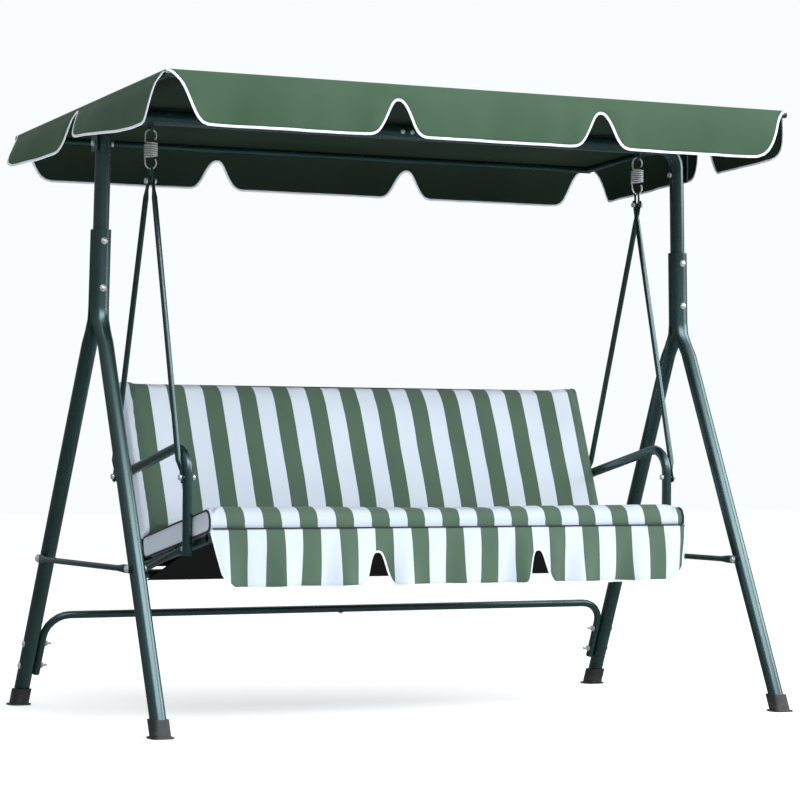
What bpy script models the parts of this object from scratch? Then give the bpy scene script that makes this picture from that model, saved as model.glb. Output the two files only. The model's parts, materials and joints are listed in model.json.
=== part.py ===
"""Canopy swing bench: a three-seat garden swing hung from an A-frame under a tilting fabric canopy.

Metres, +Z up. X runs along the bench, the sitter faces -Y, and the feet stand on Z = 0. All heights and
places below are measured from the plane of the two posts, which sits at FRAME_Y so that the whole
object is centred on the origin. Each body's parent empty stands on that body's joint axis.
"""

import math

import bmesh
import bpy
from mathutils import Matrix, Vector

# Placement and general stock
FRAME_Y = -0.0188
GAP = 0.0004
WALL = 0.0015
DRILL_REACH = 0.020
SHARP_ANGLE = math.radians(40)
SIDES = (-1, 1)
SIDE_NAMES = {-1: "left", 1: "right"}
X_AXIS = Vector((1, 0, 0))
Y_AXIS = Vector((0, 1, 0))

# A-frame: legs, feet, posts and crossbar
FOOT_X = 0.8424
FRONT_FOOT_Y = -0.4465
REAR_FOOT_Y = 0.4573
LEG_MEET_Z = 1.011
LEAN = 0.0218
LEG_RADIUS = 0.019
LEG_SIDES = 16
FORK_LOW_Z = 0.900
FORK_HIGH_Z = 0.985
FORK_STEPS = 3
SHELL_TOP_Z = 1.170
SHELL_INNER = 0.0201
SHELL_OUTER = 0.0248
SHELL_HALF_ANGLE = math.radians(86)
SHELL_INNER_ANGLE = math.radians(80)
POST_BOTTOM_Z = 0.990
CROSSBAR_Z = 1.446
POST_BEND = 0.050
INSERT_HALF = 0.060

# Feet: a squarish cup on a thin square plate
PLATE_HALF = 0.028
PLATE_THICK = 0.004
CUP_HALF_X = 0.0218
CUP_HALF_Y = 0.0236
CUP_TOP_Z = 0.042
CUP_HOLE_X = 0.0196
CUP_HOLE_Y = 0.0214
CUP_FLOOR_Z = 0.0055
LEG_BOTTOM_Z = 0.0062
SQUARENESS = 0.55

# Braces of the A-frame
BRACE_Z = 0.374
BRACE_RADIUS = 0.007
BRACE_FLAT = 0.0028
BRACE_FLAT_HEIGHT = 0.010
BRACE_END = 0.012
BRACE_FLAT_RUN = 0.024
BRACE_ROUND_RUN = 0.050
BASE_BAR_Z = 0.230
BASE_BAR_END_Z = 0.080
BASE_BAR_RADIUS = 0.0095
BASE_BAR_BEND = 0.062

# Suspension
HANG_X = 0.690
EYE_WIRE = 0.003
EYE_RADIUS = 0.011
EYE_BOTTOM_Z = 1.4105
EYE_TOP_Z = 1.4280
SPRING_WIRE = 0.002
SPRING_RADIUS = 0.015
SPRING_LOOP = 0.0145
SPRING_TURNS = 6
COIL_TOP_Z = 1.384
COIL_BOTTOM_Z = 1.351
LOOP_CLEARANCE = 0.0008
LOWER_LOOP_BOTTOM_Z = 1.3215
LINK_WIRE = 0.003
LINK_RADIUS = 0.0085
LINK_TOP_Z = 1.3271
LINK_BOTTOM_Z = 1.2845
SEAT_PIVOT_Z = 1.292

# Hanger rods and their bolts
ROD_RADIUS = 0.007
ROD_FLAT = 0.0025
ROD_FLAT_WIDTH = 0.009
ROD_WALL = 0.0012
ROD_END = 0.012
ROD_FLAT_RUN = 0.018
ROD_ROUND_RUN = 0.042
FRONT_BOLT = (-0.187, 0.582)
REAR_BOLT = (0.230, 0.577)
BOLT_SHANK = 0.0039
BOLT_HOLE = 0.0045
BOLT_HEAD = 0.0068
BOLT_HEAD_THICK = 0.0048

# Seat frame
ARM_X = 0.6676
ARM_RADIUS = 0.012
ARM_BOTTOM_Z = 0.398
ARM_BEND = 0.060
ARM_CORNER_Z = 0.666
ARM_REAR_END = 0.012
RAIL_X = 0.6435
RAIL_RADIUS = 0.011
FRONT_BAR_Y = -0.270
SEAT_SLOPE = -0.2044
SEAT_REFERENCE = (-0.283, 0.459)
BACK_SLOPE = 0.395
BACK_REFERENCE = (0.222, 0.577)
LOWER_BAR_Z = 0.341
UPRIGHT_LOW_Z = 0.3586
UPRIGHT_TOP_Z = 0.779
TOP_BAR_Z = 0.797
RAIL_END_GAP = 0.004
SLING_THICK = 0.0022
SEAT_SLING_HALF = 0.631
SEAT_SLING_FRONT = (-0.2690, 0.4538)
SEAT_SLING_REAR = (0.1390, 0.3234)
BACK_SLING_HALF = 0.652
BACK_SLING_LOW_Z = 0.358
STRUT_FRONT = (-0.148, 0.413)
STRUT_END = 0.008
STRUT_FLAT_RUN = 0.014
STRUT_ROUND_RUN = 0.034

# Cushions and the flap that hangs from the seat cushion
CUSHION_HALF = 0.655
SEAT_CUSHION_THICK = 0.046
SEAT_CUSHION_FRONT_Y = -0.290
SEAT_CUSHION_REAR_Y = 0.100
BACK_CUSHION_THICK = 0.0515
BACK_CUSHION_LOW_Z = 0.437
BACK_CUSHION_HIGH_Z = 0.818
BACK_CUSHION_WALL = 0.0125
CUSHION_BEVEL = 0.014
FLAP_Y = -0.2925
FLAP_THICK = 0.006
FLAP_TOP_Z = 0.461
FLAP_DROP = 0.137
FLAP_NOTCHES = (-0.223, 0.223)
FLAP_NOTCH_DROP = 0.060
FLAP_NOTCH_HALF = 0.052
FLAP_CORNER = 0.035

# Hems of the flap and the canopy: bell-shaped notches and rounded ends
BELL_REACH = 2.0
BELL_POWER = 2.4
FLAP_CORNER_POWER = 0.8
COLUMN_GAP = 0.006

# Canopy
CANOPY_HALF = 0.850
CANOPY_FRONT = (-0.456, 1.509)
CANOPY_REAR = (0.508, 1.436)
CANOPY_THICK = 0.002
CANOPY_FLARE = 0.004
FRONT_DROP = 0.124
REAR_DROP = 0.114
SIDE_DROP = 0.112
NOTCH_DROP = 0.040
SIDE_NOTCH_DROP = 0.014
NOTCH_HALF = 0.080
CORNER_DROP = 0.006
CORNER_HALF = 0.098
FRONT_NOTCHES = (-0.260, 0.294)
REAR_NOTCHES = (-0.284, 0.278)
LEFT_NOTCH_Y = 0.074
RIGHT_NOTCH_Y = -0.055
CANOPY_TUBE = 0.008
CANOPY_BAR_X = 0.8395
CANOPY_PIVOT_Z = 1.375
BRACKET_X = 0.8350
BRACKET_THICK = 0.003
BRACKET_WIDTH = 0.036
BRACKET_BELOW = 0.018

PALETTE = {
    "frame_paint": ((0.018, 0.045, 0.042), 0.38, 0.35),
    "zinc": ((0.62, 0.62, 0.62), 0.30, 1.0),
    "foot_plastic": ((0.030, 0.031, 0.033), 0.60, 0.0),
    "sling": ((0.010, 0.012, 0.012), 0.85, 0.0),
    "cushion": ((0.46, 0.53, 0.52), 0.90, 0.0),
    "canopy_fabric": ((0.070, 0.140, 0.085), 0.80, 0.0),
}


# Scene, bodies and parts

def clear_scene():
    for item in list(bpy.data.objects):
        bpy.data.objects.remove(item, do_unlink=True)


def make_materials():
    """One Principled material for each finish."""
    materials = {}
    for name, (colour, roughness, metallic) in PALETTE.items():
        material = bpy.data.materials.new(name)
        material.use_nodes = True
        shader = material.node_tree.nodes["Principled BSDF"]
        shader.inputs["Base Color"].default_value = (*colour, 1)
        shader.inputs["Roughness"].default_value = roughness
        shader.inputs["Metallic"].default_value = metallic
        materials[name] = material
    return materials


class Body:
    """A rigid group of parts, whose empty stands on the joint axis that moves it."""

    def __init__(self, name, height, parent=None):
        self.height = height
        self.empty = bpy.data.objects.new(name, None)
        bpy.context.scene.collection.objects.link(self.empty)
        if parent is None:
            self.empty.location = (0, FRAME_Y, height)
        else:
            self.empty.parent = parent.empty
            self.empty.location = (0, 0, height - parent.height)


def add_part(body, name, mesh_data, finish):
    """Turn a bmesh in the frame plane's coordinates into a named object on its body."""
    bmesh.ops.recalc_face_normals(mesh_data, faces=mesh_data.faces)
    mesh = bpy.data.meshes.new(name)
    mesh_data.to_mesh(mesh)
    mesh_data.free()
    mesh.shade_smooth()
    mesh.set_sharp_from_angle(angle=SHARP_ANGLE)
    part = bpy.data.objects.new(name, mesh)
    if finish is not None:
        mesh.materials.append(MATERIALS[finish])
    bpy.context.scene.collection.objects.link(part)
    part.parent = body.empty
    part.matrix_parent_inverse = Matrix.Translation((0, 0, -body.height))
    return part


def drill(body, part, centre, radius):
    """Cut a round hole along X through a part."""
    reach = X_AXIS * DRILL_REACH
    cut_away(body, part, solid_rod([centre - reach, centre + reach], radius, Y_AXIS, 12))


def cut_away(body, part, mesh_data):
    """Subtract a solid from a part."""
    cutter = add_part(body, part.name + "_cutter", mesh_data, None)
    cutter.hide_render = True
    cutter.display_type = "WIRE"
    cut = part.modifiers.new("cut", "BOOLEAN")
    cut.operation = "DIFFERENCE"
    cut.object = cutter


# Outlines, paths and skins

def skin(rings, closed=False):
    """Skin equal rings of points into one body: capped at both ends, or closed end to start."""
    mesh_data = bmesh.new()
    loops = [[mesh_data.verts.new(point) for point in ring] for ring in rings]
    pairs = list(zip(loops, loops[1:]))
    if closed:
        pairs.append((loops[-1], loops[0]))
    count = len(loops[0])
    for low, high in pairs:
        for i in range(count):
            j = (i + 1) % count
            mesh_data.faces.new((low[i], low[j], high[j], high[i]))
    if not closed:
        mesh_data.faces.new(loops[0][::-1])
        mesh_data.faces.new(loops[-1])
    return mesh_data


def section_rings(stations, across, sides, inset=0.0, loop=False):
    """Elliptical sections at stations of (point, half size along across, half size the other way)."""
    points = [Vector(station[0]) for station in stations]
    last = len(points) - 1
    rings = []
    for i, (_, half_across, half_other) in enumerate(stations):
        before = points[i - 1] if loop else points[max(i - 1, 0)]
        after = points[(i + 1) % len(points)] if loop else points[min(i + 1, last)]
        other = (after - before).cross(across).normalized()
        side = other.cross(after - before).normalized()
        ring = []
        for k in range(sides):
            angle = math.tau * k / sides
            offset = side * math.cos(angle) * (half_across - inset)
            offset += other * math.sin(angle) * (half_other - inset)
            ring.append(points[i] + offset)
        rings.append(ring)
    return rings


def solid_rod(points, radius, across, sides=12):
    stations = [(point, radius, radius) for point in points]
    return skin(section_rings(stations, across, sides))


def hollow_section(stations, across, sides=12, wall=WALL):
    """An open-ended tube: the outer skin out and the inner skin back."""
    outer = section_rings(stations, across, sides)
    inner = section_rings(stations, across, sides, inset=wall)
    return skin(outer + inner[::-1], closed=True)


def hollow_tube(points, radius, across, sides=12, wall=WALL):
    return hollow_section([(point, radius, radius) for point in points], across, sides, wall)


def rounded_path(corners, radius, steps=6):
    """Straight runs joined by arcs of one radius."""
    corners = [Vector(corner) for corner in corners]
    path = [corners[0]]
    for before, corner, after in zip(corners, corners[1:], corners[2:]):
        back = (before - corner).normalized()
        ahead = (after - corner).normalized()
        half = back.angle(ahead) / 2
        centre = corner + (back + ahead).normalized() * radius / math.sin(half)
        start = corner + back * radius / math.tan(half) - centre
        axis = back.cross(start)
        turn = math.pi - 2 * half
        for i in range(steps + 1):
            path.append(centre + Matrix.Rotation(turn * i / steps, 3, axis) @ start)
    path.append(corners[-1])
    return path


def turned_pin(profile, centre, sides=12):
    """A pin turned about a line along X, from (x, radius) steps."""
    rings = []
    for x, radius in profile:
        ring = []
        for k in range(sides):
            angle = math.tau * k / sides
            ring.append((x, centre[0] + radius * math.cos(angle), centre[1] + radius * math.sin(angle)))
        rings.append(ring)
    return skin(rings)


def bolt(body, name, side, centre, grip_in, grip_out):
    """A bolt along X with its head outboard and its nut inboard of what it grips."""
    profile = [
        (side * (grip_in - BOLT_HEAD_THICK), BOLT_HEAD),
        (side * grip_in, BOLT_HEAD),
        (side * grip_in, BOLT_SHANK),
        (side * grip_out, BOLT_SHANK),
        (side * grip_out, BOLT_HEAD),
        (side * (grip_out + BOLT_HEAD_THICK), BOLT_HEAD),
    ]
    add_part(body, name, turned_pin(profile, centre), "zinc")


def bell(reach):
    """Rise of a hem beside a notch, from 0 at its rounded tip to 1 where the notch has run out."""
    return 1 - math.exp(-(BELL_REACH * min(reach, 1)) ** BELL_POWER)


def scallop_drop(place, notches, full, notch_drop, notch_half, length, corner_drop):
    """Depth of a hem below its edge, place being the distance along that edge between two corners."""
    drop = full
    for notch in notches:
        drop = min(drop, notch_drop + (full - notch_drop) * bell(abs(place - notch) / notch_half))
    end = min(place, length - place)
    return min(drop, corner_drop + (full - corner_drop) * bell(end / CORNER_HALF))


def flap_drop(place, notches, length):
    """Depth of the flap's hem, whose outer corners are rounded."""
    drop = scallop_drop(place, notches, FLAP_DROP, FLAP_NOTCH_DROP, FLAP_NOTCH_HALF, length, FLAP_DROP)
    end = min(place, length - place, FLAP_CORNER) / FLAP_CORNER
    rounded = FLAP_CORNER * (1 - math.sin(end * math.pi / 2) ** FLAP_CORNER_POWER)
    return min(drop, FLAP_DROP - rounded)


def scallop_columns(notches, notch_half, length, corner_half):
    """Places along an edge, close together where the hem curves."""
    steps = (0, 0.15, 0.35, 0.6, 1.0)
    places = {0.0, length}
    for step in steps:
        places.update((step * corner_half, length - step * corner_half))
        for notch in notches:
            places.update((notch - step * notch_half, notch + step * notch_half))
    for i in range(1, 9):
        places.add(length * i / 9)
    kept = []
    for place in sorted(places):
        if not kept or place - kept[-1] > COLUMN_GAP:
            kept.append(place)
    kept[-1] = length
    return kept


# A-frame

def lean_x(height):
    """The posts and both legs of a side lie in one plane that leans inwards."""
    return FOOT_X - LEAN * height


def leg_centre(side, foot_y, height):
    return Vector((side * lean_x(height), foot_y * (1 - height / LEG_MEET_Z), height))


def leg_circle(side, foot_y, height, inset=0.0):
    """A level cut through the sloping round leg, its first half being the outer face."""
    centre = leg_centre(side, foot_y, height)
    way = math.copysign(1, foot_y)
    stretch = math.hypot(1, foot_y / LEG_MEET_Z)
    radius = LEG_RADIUS - inset
    ring = []
    for k in range(LEG_SIDES):
        angle = -math.pi / 2 + math.tau * k / LEG_SIDES
        x = radius * math.sin(angle)
        y = way * radius * stretch * math.cos(angle)
        ring.append(centre + Vector((x, y, 0)))
    return ring


def leg_shell(side, foot_y, height):
    """The half shell that the leg's top is pressed into, round the post."""
    way = math.copysign(1, foot_y)
    outer_count = LEG_SIDES // 2 + 1
    inner_count = LEG_SIDES - outer_count
    places = []
    for k in range(outer_count):
        places.append((SHELL_OUTER, SHELL_HALF_ANGLE * (2 * k / (outer_count - 1) - 1)))
    for k in range(inner_count):
        places.append((SHELL_INNER, SHELL_INNER_ANGLE * (1 - 2 * k / (inner_count - 1))))
    ring = []
    for radius, angle in places:
        x = side * lean_x(height) + radius * math.sin(angle)
        ring.append(Vector((x, way * radius * math.cos(angle), height)))
    return ring


def make_leg(body, side, foot_y, name):
    """A round tube, open at its foot, whose top is flattened into a half shell."""
    rings = [leg_shell(side, foot_y, SHELL_TOP_Z), leg_shell(side, foot_y, FORK_HIGH_Z)]
    for step in range(FORK_STEPS - 1, -1, -1):
        share = step / FORK_STEPS
        height = FORK_LOW_Z + (FORK_HIGH_Z - FORK_LOW_Z) * share
        blend = share * share * (3 - 2 * share)
        circle = leg_circle(side, foot_y, height)
        shell = leg_shell(side, foot_y, height)
        rings.append([a.lerp(b, blend) for a, b in zip(circle, shell)])
    rings.append(leg_circle(side, foot_y, LEG_BOTTOM_Z))
    rings.append(leg_circle(side, foot_y, LEG_BOTTOM_Z, inset=WALL))
    rings.append(leg_circle(side, foot_y, FORK_LOW_Z, inset=WALL))
    add_part(body, name, skin(rings), "frame_paint")


def foot_ring(side, foot_y, height, half_x, half_y, power):
    """A level ring round the leg's line, squarer as power drops below 1."""
    centre = leg_centre(side, foot_y, height)
    ring = []
    for k in range(LEG_SIDES):
        angle = math.tau * (k + 0.5) / LEG_SIDES
        x = math.copysign(abs(math.cos(angle)) ** power, math.cos(angle)) * half_x
        y = math.copysign(abs(math.sin(angle)) ** power, math.sin(angle)) * half_y
        ring.append(centre + Vector((x, y, 0)))
    return ring


def make_foot(body, side, foot_y, name):
    """A plastic cup on a thin plate, open at its top for the leg."""
    sections = [
        (0.0, PLATE_HALF, PLATE_HALF, SQUARENESS),
        (PLATE_THICK, PLATE_HALF, PLATE_HALF, SQUARENESS),
        (PLATE_THICK, CUP_HALF_X, CUP_HALF_Y, SQUARENESS),
        (CUP_TOP_Z, CUP_HALF_X, CUP_HALF_Y, SQUARENESS),
        (CUP_TOP_Z, CUP_HOLE_X, CUP_HOLE_Y, 1.0),
        (CUP_FLOOR_Z, CUP_HOLE_X, CUP_HOLE_Y, 1.0),
    ]
    rings = [foot_ring(side, foot_y, *section) for section in sections]
    add_part(body, name, skin(rings), "foot_plastic")


def make_post(body, side):
    """An upper post that bends inwards into its half of the crossbar."""
    corners = [
        (side * lean_x(POST_BOTTOM_Z), 0, POST_BOTTOM_Z),
        (side * lean_x(CROSSBAR_Z), 0, CROSSBAR_Z),
        (side * GAP, 0, CROSSBAR_Z),
    ]
    path = rounded_path(corners, POST_BEND)
    name = "post_" + SIDE_NAMES[side]
    post = add_part(body, name, hollow_tube(path, LEG_RADIUS, Y_AXIS, LEG_SIDES), "frame_paint")
    drill(body, post, Vector((side * lean_x(CANOPY_PIVOT_Z), 0, CANOPY_PIVOT_Z)), BOLT_HOLE)


def make_crossbar_insert(body):
    points = [(-INSERT_HALF, 0, CROSSBAR_Z), (INSERT_HALF, 0, CROSSBAR_Z)]
    radius = LEG_RADIUS - WALL - 2 * GAP
    add_part(body, "crossbar_insert", hollow_tube(points, radius, Y_AXIS), "frame_paint")


def make_side_brace(body, side):
    """A thin tube with flattened ends, bolted to the -X face of both legs of a side."""
    x = side * lean_x(BRACE_Z) - LEG_RADIUS - BRACE_FLAT - GAP
    front = leg_centre(side, FRONT_FOOT_Y, BRACE_Z).y
    rear = leg_centre(side, REAR_FOOT_Y, BRACE_Z).y
    offset = BRACE_RADIUS - BRACE_FLAT
    places = [
        (front - BRACE_END, 0, BRACE_FLAT, BRACE_FLAT_HEIGHT),
        (front + BRACE_FLAT_RUN, 0, BRACE_FLAT, BRACE_FLAT_HEIGHT),
        (front + BRACE_ROUND_RUN, offset, BRACE_RADIUS, BRACE_RADIUS),
        (rear - BRACE_ROUND_RUN, offset, BRACE_RADIUS, BRACE_RADIUS),
        (rear - BRACE_FLAT_RUN, 0, BRACE_FLAT, BRACE_FLAT_HEIGHT),
        (rear + BRACE_END, 0, BRACE_FLAT, BRACE_FLAT_HEIGHT),
    ]
    stations = [((x - shift, y, BRACE_Z), across, other) for y, shift, across, other in places]
    part = hollow_section(stations, X_AXIS, wall=ROD_WALL)
    add_part(body, "side_brace_" + SIDE_NAMES[side], part, "frame_paint")


def make_base_bar(body, side):
    """Half of the low rear bar, bent down to lie along the inner face of the rear leg."""
    inboard = side * (LEG_RADIUS + BASE_BAR_RADIUS + 2 * GAP)
    corner = leg_centre(side, REAR_FOOT_Y, BASE_BAR_Z)
    end = leg_centre(side, REAR_FOOT_Y, BASE_BAR_END_Z)
    corners = [
        (side * GAP, corner.y, BASE_BAR_Z),
        (corner.x - inboard, corner.y, BASE_BAR_Z),
        (end.x - inboard, end.y, BASE_BAR_END_Z),
    ]
    path = rounded_path(corners, BASE_BAR_BEND)
    across = X_AXIS.cross(end - corner).normalized()
    part = hollow_tube(path, BASE_BAR_RADIUS, across)
    add_part(body, "base_bar_" + SIDE_NAMES[side], part, "frame_paint")


def make_base_insert(body):
    y = leg_centre(1, REAR_FOOT_Y, BASE_BAR_Z).y
    points = [(-INSERT_HALF, y, BASE_BAR_Z), (INSERT_HALF, y, BASE_BAR_Z)]
    radius = BASE_BAR_RADIUS - WALL - 2 * GAP
    add_part(body, "base_bar_insert", hollow_tube(points, radius, Y_AXIS), "frame_paint")


def make_hook_eye(body, side):
    """A wire eye under the crossbar, in the plane across it."""
    x = side * HANG_X
    centre_z = EYE_BOTTOM_Z + EYE_RADIUS
    path = [(x, -EYE_RADIUS, EYE_TOP_Z)]
    for i in range(9):
        angle = math.pi + math.pi * i / 8
        path.append((x, EYE_RADIUS * math.cos(angle), centre_z + EYE_RADIUS * math.sin(angle)))
    path.append((x, EYE_RADIUS, EYE_TOP_Z))
    add_part(body, "hook_eye_" + SIDE_NAMES[side], solid_rod(path, EYE_WIRE, X_AXIS, 8), "frame_paint")


# Suspension

def spring_path(x):
    """Upper loop, coil and lower loop of an extension spring, as one wire."""
    upper_top = EYE_BOTTOM_Z + EYE_WIRE + SPRING_WIRE + LOOP_CLEARANCE
    upper_centre = upper_top - SPRING_LOOP
    lower_centre = LOWER_LOOP_BOTTOM_Z + SPRING_LOOP
    path = []
    for i in range(9):
        angle = math.radians(-40 + 220 * i / 8)
        path.append((x + SPRING_LOOP * math.cos(angle), 0, upper_centre + SPRING_LOOP * math.sin(angle)))
    per_turn = 8
    count = SPRING_TURNS * per_turn
    for i in range(count + 1):
        angle = math.pi + math.tau * i / per_turn
        height = COIL_TOP_Z + (COIL_BOTTOM_Z - COIL_TOP_Z) * i / count
        path.append((x + SPRING_RADIUS * math.cos(angle), SPRING_RADIUS * math.sin(angle), height))
    for i in range(9):
        angle = math.radians(180 + 220 * i / 8)
        path.append((x + SPRING_LOOP * math.cos(angle), 0, lower_centre + SPRING_LOOP * math.sin(angle)))
    return path


def wire_rings(path, radius, sides):
    """Round sections along a bent wire, each turned as little as possible from the one before."""
    points = [Vector(point) for point in path]
    last = len(points) - 1
    side = Y_AXIS.copy()
    rings = []
    for i, point in enumerate(points):
        tangent = (points[min(i + 1, last)] - points[max(i - 1, 0)]).normalized()
        side = (side - tangent * side.dot(tangent)).normalized()
        other = tangent.cross(side)
        ring = []
        for k in range(sides):
            angle = math.tau * k / sides
            ring.append(point + side * radius * math.cos(angle) + other * radius * math.sin(angle))
        rings.append(ring)
    return rings


def make_spring(body, side):
    rings = wire_rings(spring_path(side * HANG_X), SPRING_WIRE, 5)
    add_part(body, "spring_" + SIDE_NAMES[side], skin(rings), "zinc")


def make_link(body, side):
    """A long closed chain link between the spring's lower loop and the hanger rods' bolt."""
    x = side * HANG_X
    stations = []
    for centre_z, start in ((LINK_TOP_Z - LINK_RADIUS, 0), (LINK_BOTTOM_Z + LINK_RADIUS, math.pi)):
        for i in range(7):
            angle = start + math.pi * i / 6
            point = (x, LINK_RADIUS * math.cos(angle), centre_z + LINK_RADIUS * math.sin(angle))
            stations.append((point, LINK_WIRE, LINK_WIRE))
    rings = section_rings(stations, X_AXIS, 8, loop=True)
    add_part(body, "hanger_link_" + SIDE_NAMES[side], skin(rings, closed=True), "frame_paint")


def make_hanger_rod(body, side, place, low, top_x):
    """A tube with flattened, drilled ends from the arm to the link's bolt."""
    low_x = ARM_X + ARM_RADIUS + ROD_FLAT + GAP
    round_x = ARM_X + ARM_RADIUS + ROD_RADIUS + 2 * GAP
    start = Vector((0, low[0], low[1]))
    run = Vector((0, 0, SEAT_PIVOT_Z)) - start
    length = run.length
    run.normalize()
    places = [
        (-ROD_END, low_x, ROD_FLAT, ROD_FLAT_WIDTH),
        (ROD_FLAT_RUN, low_x, ROD_FLAT, ROD_FLAT_WIDTH),
        (ROD_ROUND_RUN, round_x, ROD_RADIUS, ROD_RADIUS),
        (length - ROD_ROUND_RUN, top_x, ROD_RADIUS, ROD_RADIUS),
        (length - ROD_FLAT_RUN, top_x, ROD_FLAT, ROD_FLAT_WIDTH),
        (length + ROD_END, top_x, ROD_FLAT, ROD_FLAT_WIDTH),
    ]
    stations = []
    for along, x, across, other in places:
        stations.append((start + run * along + X_AXIS * side * x, across, other))
    name = "hanger_rod_" + place + "_" + SIDE_NAMES[side]
    rod = add_part(body, name, hollow_section(stations, X_AXIS, wall=ROD_WALL), "frame_paint")
    for (y, z), x in ((low, low_x), ((0, SEAT_PIVOT_Z), top_x)):
        drill(body, rod, Vector((side * x, y, z)), BOLT_HOLE)


# Seat frame

def cushion_base_z(y):
    """Height of the plane that the seat cushion's underside lies in."""
    return SEAT_REFERENCE[1] + SEAT_SLOPE * (y - SEAT_REFERENCE[0])


def rail_z(y):
    return cushion_base_z(y) - SLING_THICK - 2 * GAP - RAIL_RADIUS * math.hypot(1, SEAT_SLOPE)


def upright_y(z):
    return BACK_REFERENCE[0] + BACK_SLOPE * (z - BACK_REFERENCE[1])


def back_plane_y(z, offset):
    """Y of a plane parallel to the back frame, offset forwards along its normal."""
    return upright_y(z) - offset * math.hypot(1, BACK_SLOPE)


def make_arm(body, side):
    """The front arm tube, bent at the top into the sloping armrest."""
    x = side * ARM_X
    slope = (ARM_CORNER_Z - REAR_BOLT[1]) / (FRONT_BOLT[0] - REAR_BOLT[0])
    corners = [
        (x, FRONT_BOLT[0], ARM_BOTTOM_Z),
        (x, FRONT_BOLT[0], ARM_CORNER_Z),
        (x, REAR_BOLT[0] + ARM_REAR_END, REAR_BOLT[1] + slope * ARM_REAR_END),
    ]
    path = rounded_path(corners, ARM_BEND)
    arm = add_part(body, "arm_" + SIDE_NAMES[side], hollow_tube(path, ARM_RADIUS, X_AXIS), "frame_paint")
    for y, z in (FRONT_BOLT, REAR_BOLT):
        drill(body, arm, Vector((x, y, z)), BOLT_HOLE)


def make_seat_frame(body):
    """Rails, uprights, three cross bars and the two struts under the seat."""
    front_z = rail_z(FRONT_BAR_Y)
    half = RAIL_X + RAIL_RADIUS
    sling_front = RAIL_RADIUS + 2 * GAP + SLING_THICK + GAP
    lower_y = upright_y(LOWER_BAR_Z)
    for name, y, z in (
        ("seat_front_bar", FRONT_BAR_Y, front_z),
        ("seat_rear_bar", lower_y, LOWER_BAR_Z),
        ("back_top_bar", upright_y(TOP_BAR_Z), TOP_BAR_Z),
    ):
        add_part(body, name, hollow_tube([(-half, y, z), (half, y, z)], RAIL_RADIUS, Y_AXIS), "frame_paint")
    for side in SIDES:
        x = side * RAIL_X
        start_y = FRONT_BAR_Y + RAIL_RADIUS + 2 * GAP
        end_y = back_plane_y(rail_z(lower_y), sling_front) - RAIL_END_GAP
        points = [(x, start_y, rail_z(start_y)), (x, end_y, rail_z(end_y))]
        add_part(body, "seat_rail_" + SIDE_NAMES[side], hollow_tube(points, RAIL_RADIUS, X_AXIS), "frame_paint")
        points = [(x, upright_y(z), z) for z in (UPRIGHT_LOW_Z, UPRIGHT_TOP_Z)]
        name = "back_upright_" + SIDE_NAMES[side]
        upright = add_part(body, name, hollow_tube(points, RAIL_RADIUS, X_AXIS), "frame_paint")
        drill(body, upright, Vector((x, *REAR_BOLT)), BOLT_HOLE)
        make_strut(body, side, lower_y)


def make_strut(body, side, lower_y):
    """A thin tube with flat ends from the rail behind the arm down to the rear bar's end."""
    flat_x = RAIL_X + RAIL_RADIUS + BRACE_FLAT + GAP
    round_x = RAIL_X + RAIL_RADIUS + BRACE_RADIUS + 2 * GAP
    start = Vector((0, *STRUT_FRONT))
    run = Vector((0, lower_y, LOWER_BAR_Z)) - start
    length = run.length
    run.normalize()
    places = [
        (-STRUT_END, flat_x, BRACE_FLAT, BRACE_FLAT_HEIGHT),
        (STRUT_FLAT_RUN, flat_x, BRACE_FLAT, BRACE_FLAT_HEIGHT),
        (STRUT_ROUND_RUN, round_x, BRACE_RADIUS, BRACE_RADIUS),
        (length - STRUT_ROUND_RUN, round_x, BRACE_RADIUS, BRACE_RADIUS),
        (length - STRUT_FLAT_RUN, flat_x, BRACE_FLAT, BRACE_FLAT_HEIGHT),
        (length + STRUT_END, flat_x, BRACE_FLAT, BRACE_FLAT_HEIGHT),
    ]
    stations = []
    for along, x, across, other in places:
        stations.append((start + run * along + X_AXIS * side * x, across, other))
    part = hollow_section(stations, X_AXIS, wall=ROD_WALL)
    add_part(body, "seat_strut_" + SIDE_NAMES[side], part, "frame_paint")


def slab(corners, half_width):
    """A prism along X over a four-cornered outline of (y, z) points."""
    mesh_data = bmesh.new()
    near = [mesh_data.verts.new((-half_width, y, z)) for y, z in corners]
    far = [mesh_data.verts.new((half_width, y, z)) for y, z in corners]
    mesh_data.faces.new(near)
    mesh_data.faces.new(far[::-1])
    for i in range(len(corners)):
        j = (i + 1) % len(corners)
        mesh_data.faces.new((near[i], far[i], far[j], near[j]))
    return mesh_data


def tilted_outline(start, end, thickness):
    """A thick line from start to end, thickened to the left of its direction."""
    along = Vector((end[0] - start[0], end[1] - start[1])).normalized()
    normal = Vector((-along.y, along.x)) * thickness
    return [start, end, (end[0] + normal.x, end[1] + normal.y), (start[0] + normal.x, start[1] + normal.y)]


def make_slings(body):
    """The black fabric behind the cushions.

    One panel runs between the rails, over the front bar and under the rear one, and one lies on the
    uprights.
    """
    outline = tilted_outline(SEAT_SLING_FRONT, SEAT_SLING_REAR, SLING_THICK)
    add_part(body, "seat_sling", slab(outline, SEAT_SLING_HALF), "sling")
    offset = RAIL_RADIUS + 2 * GAP
    high_z = TOP_BAR_Z + RAIL_RADIUS
    start = (back_plane_y(BACK_SLING_LOW_Z, offset), BACK_SLING_LOW_Z)
    end = (back_plane_y(high_z, offset), high_z)
    add_part(body, "back_sling", slab(tilted_outline(start, end, SLING_THICK), BACK_SLING_HALF), "sling")


def round_edges(part, width):
    bevel = part.modifiers.new("soft edges", "BEVEL")
    bevel.width = width
    bevel.segments = 3


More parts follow.
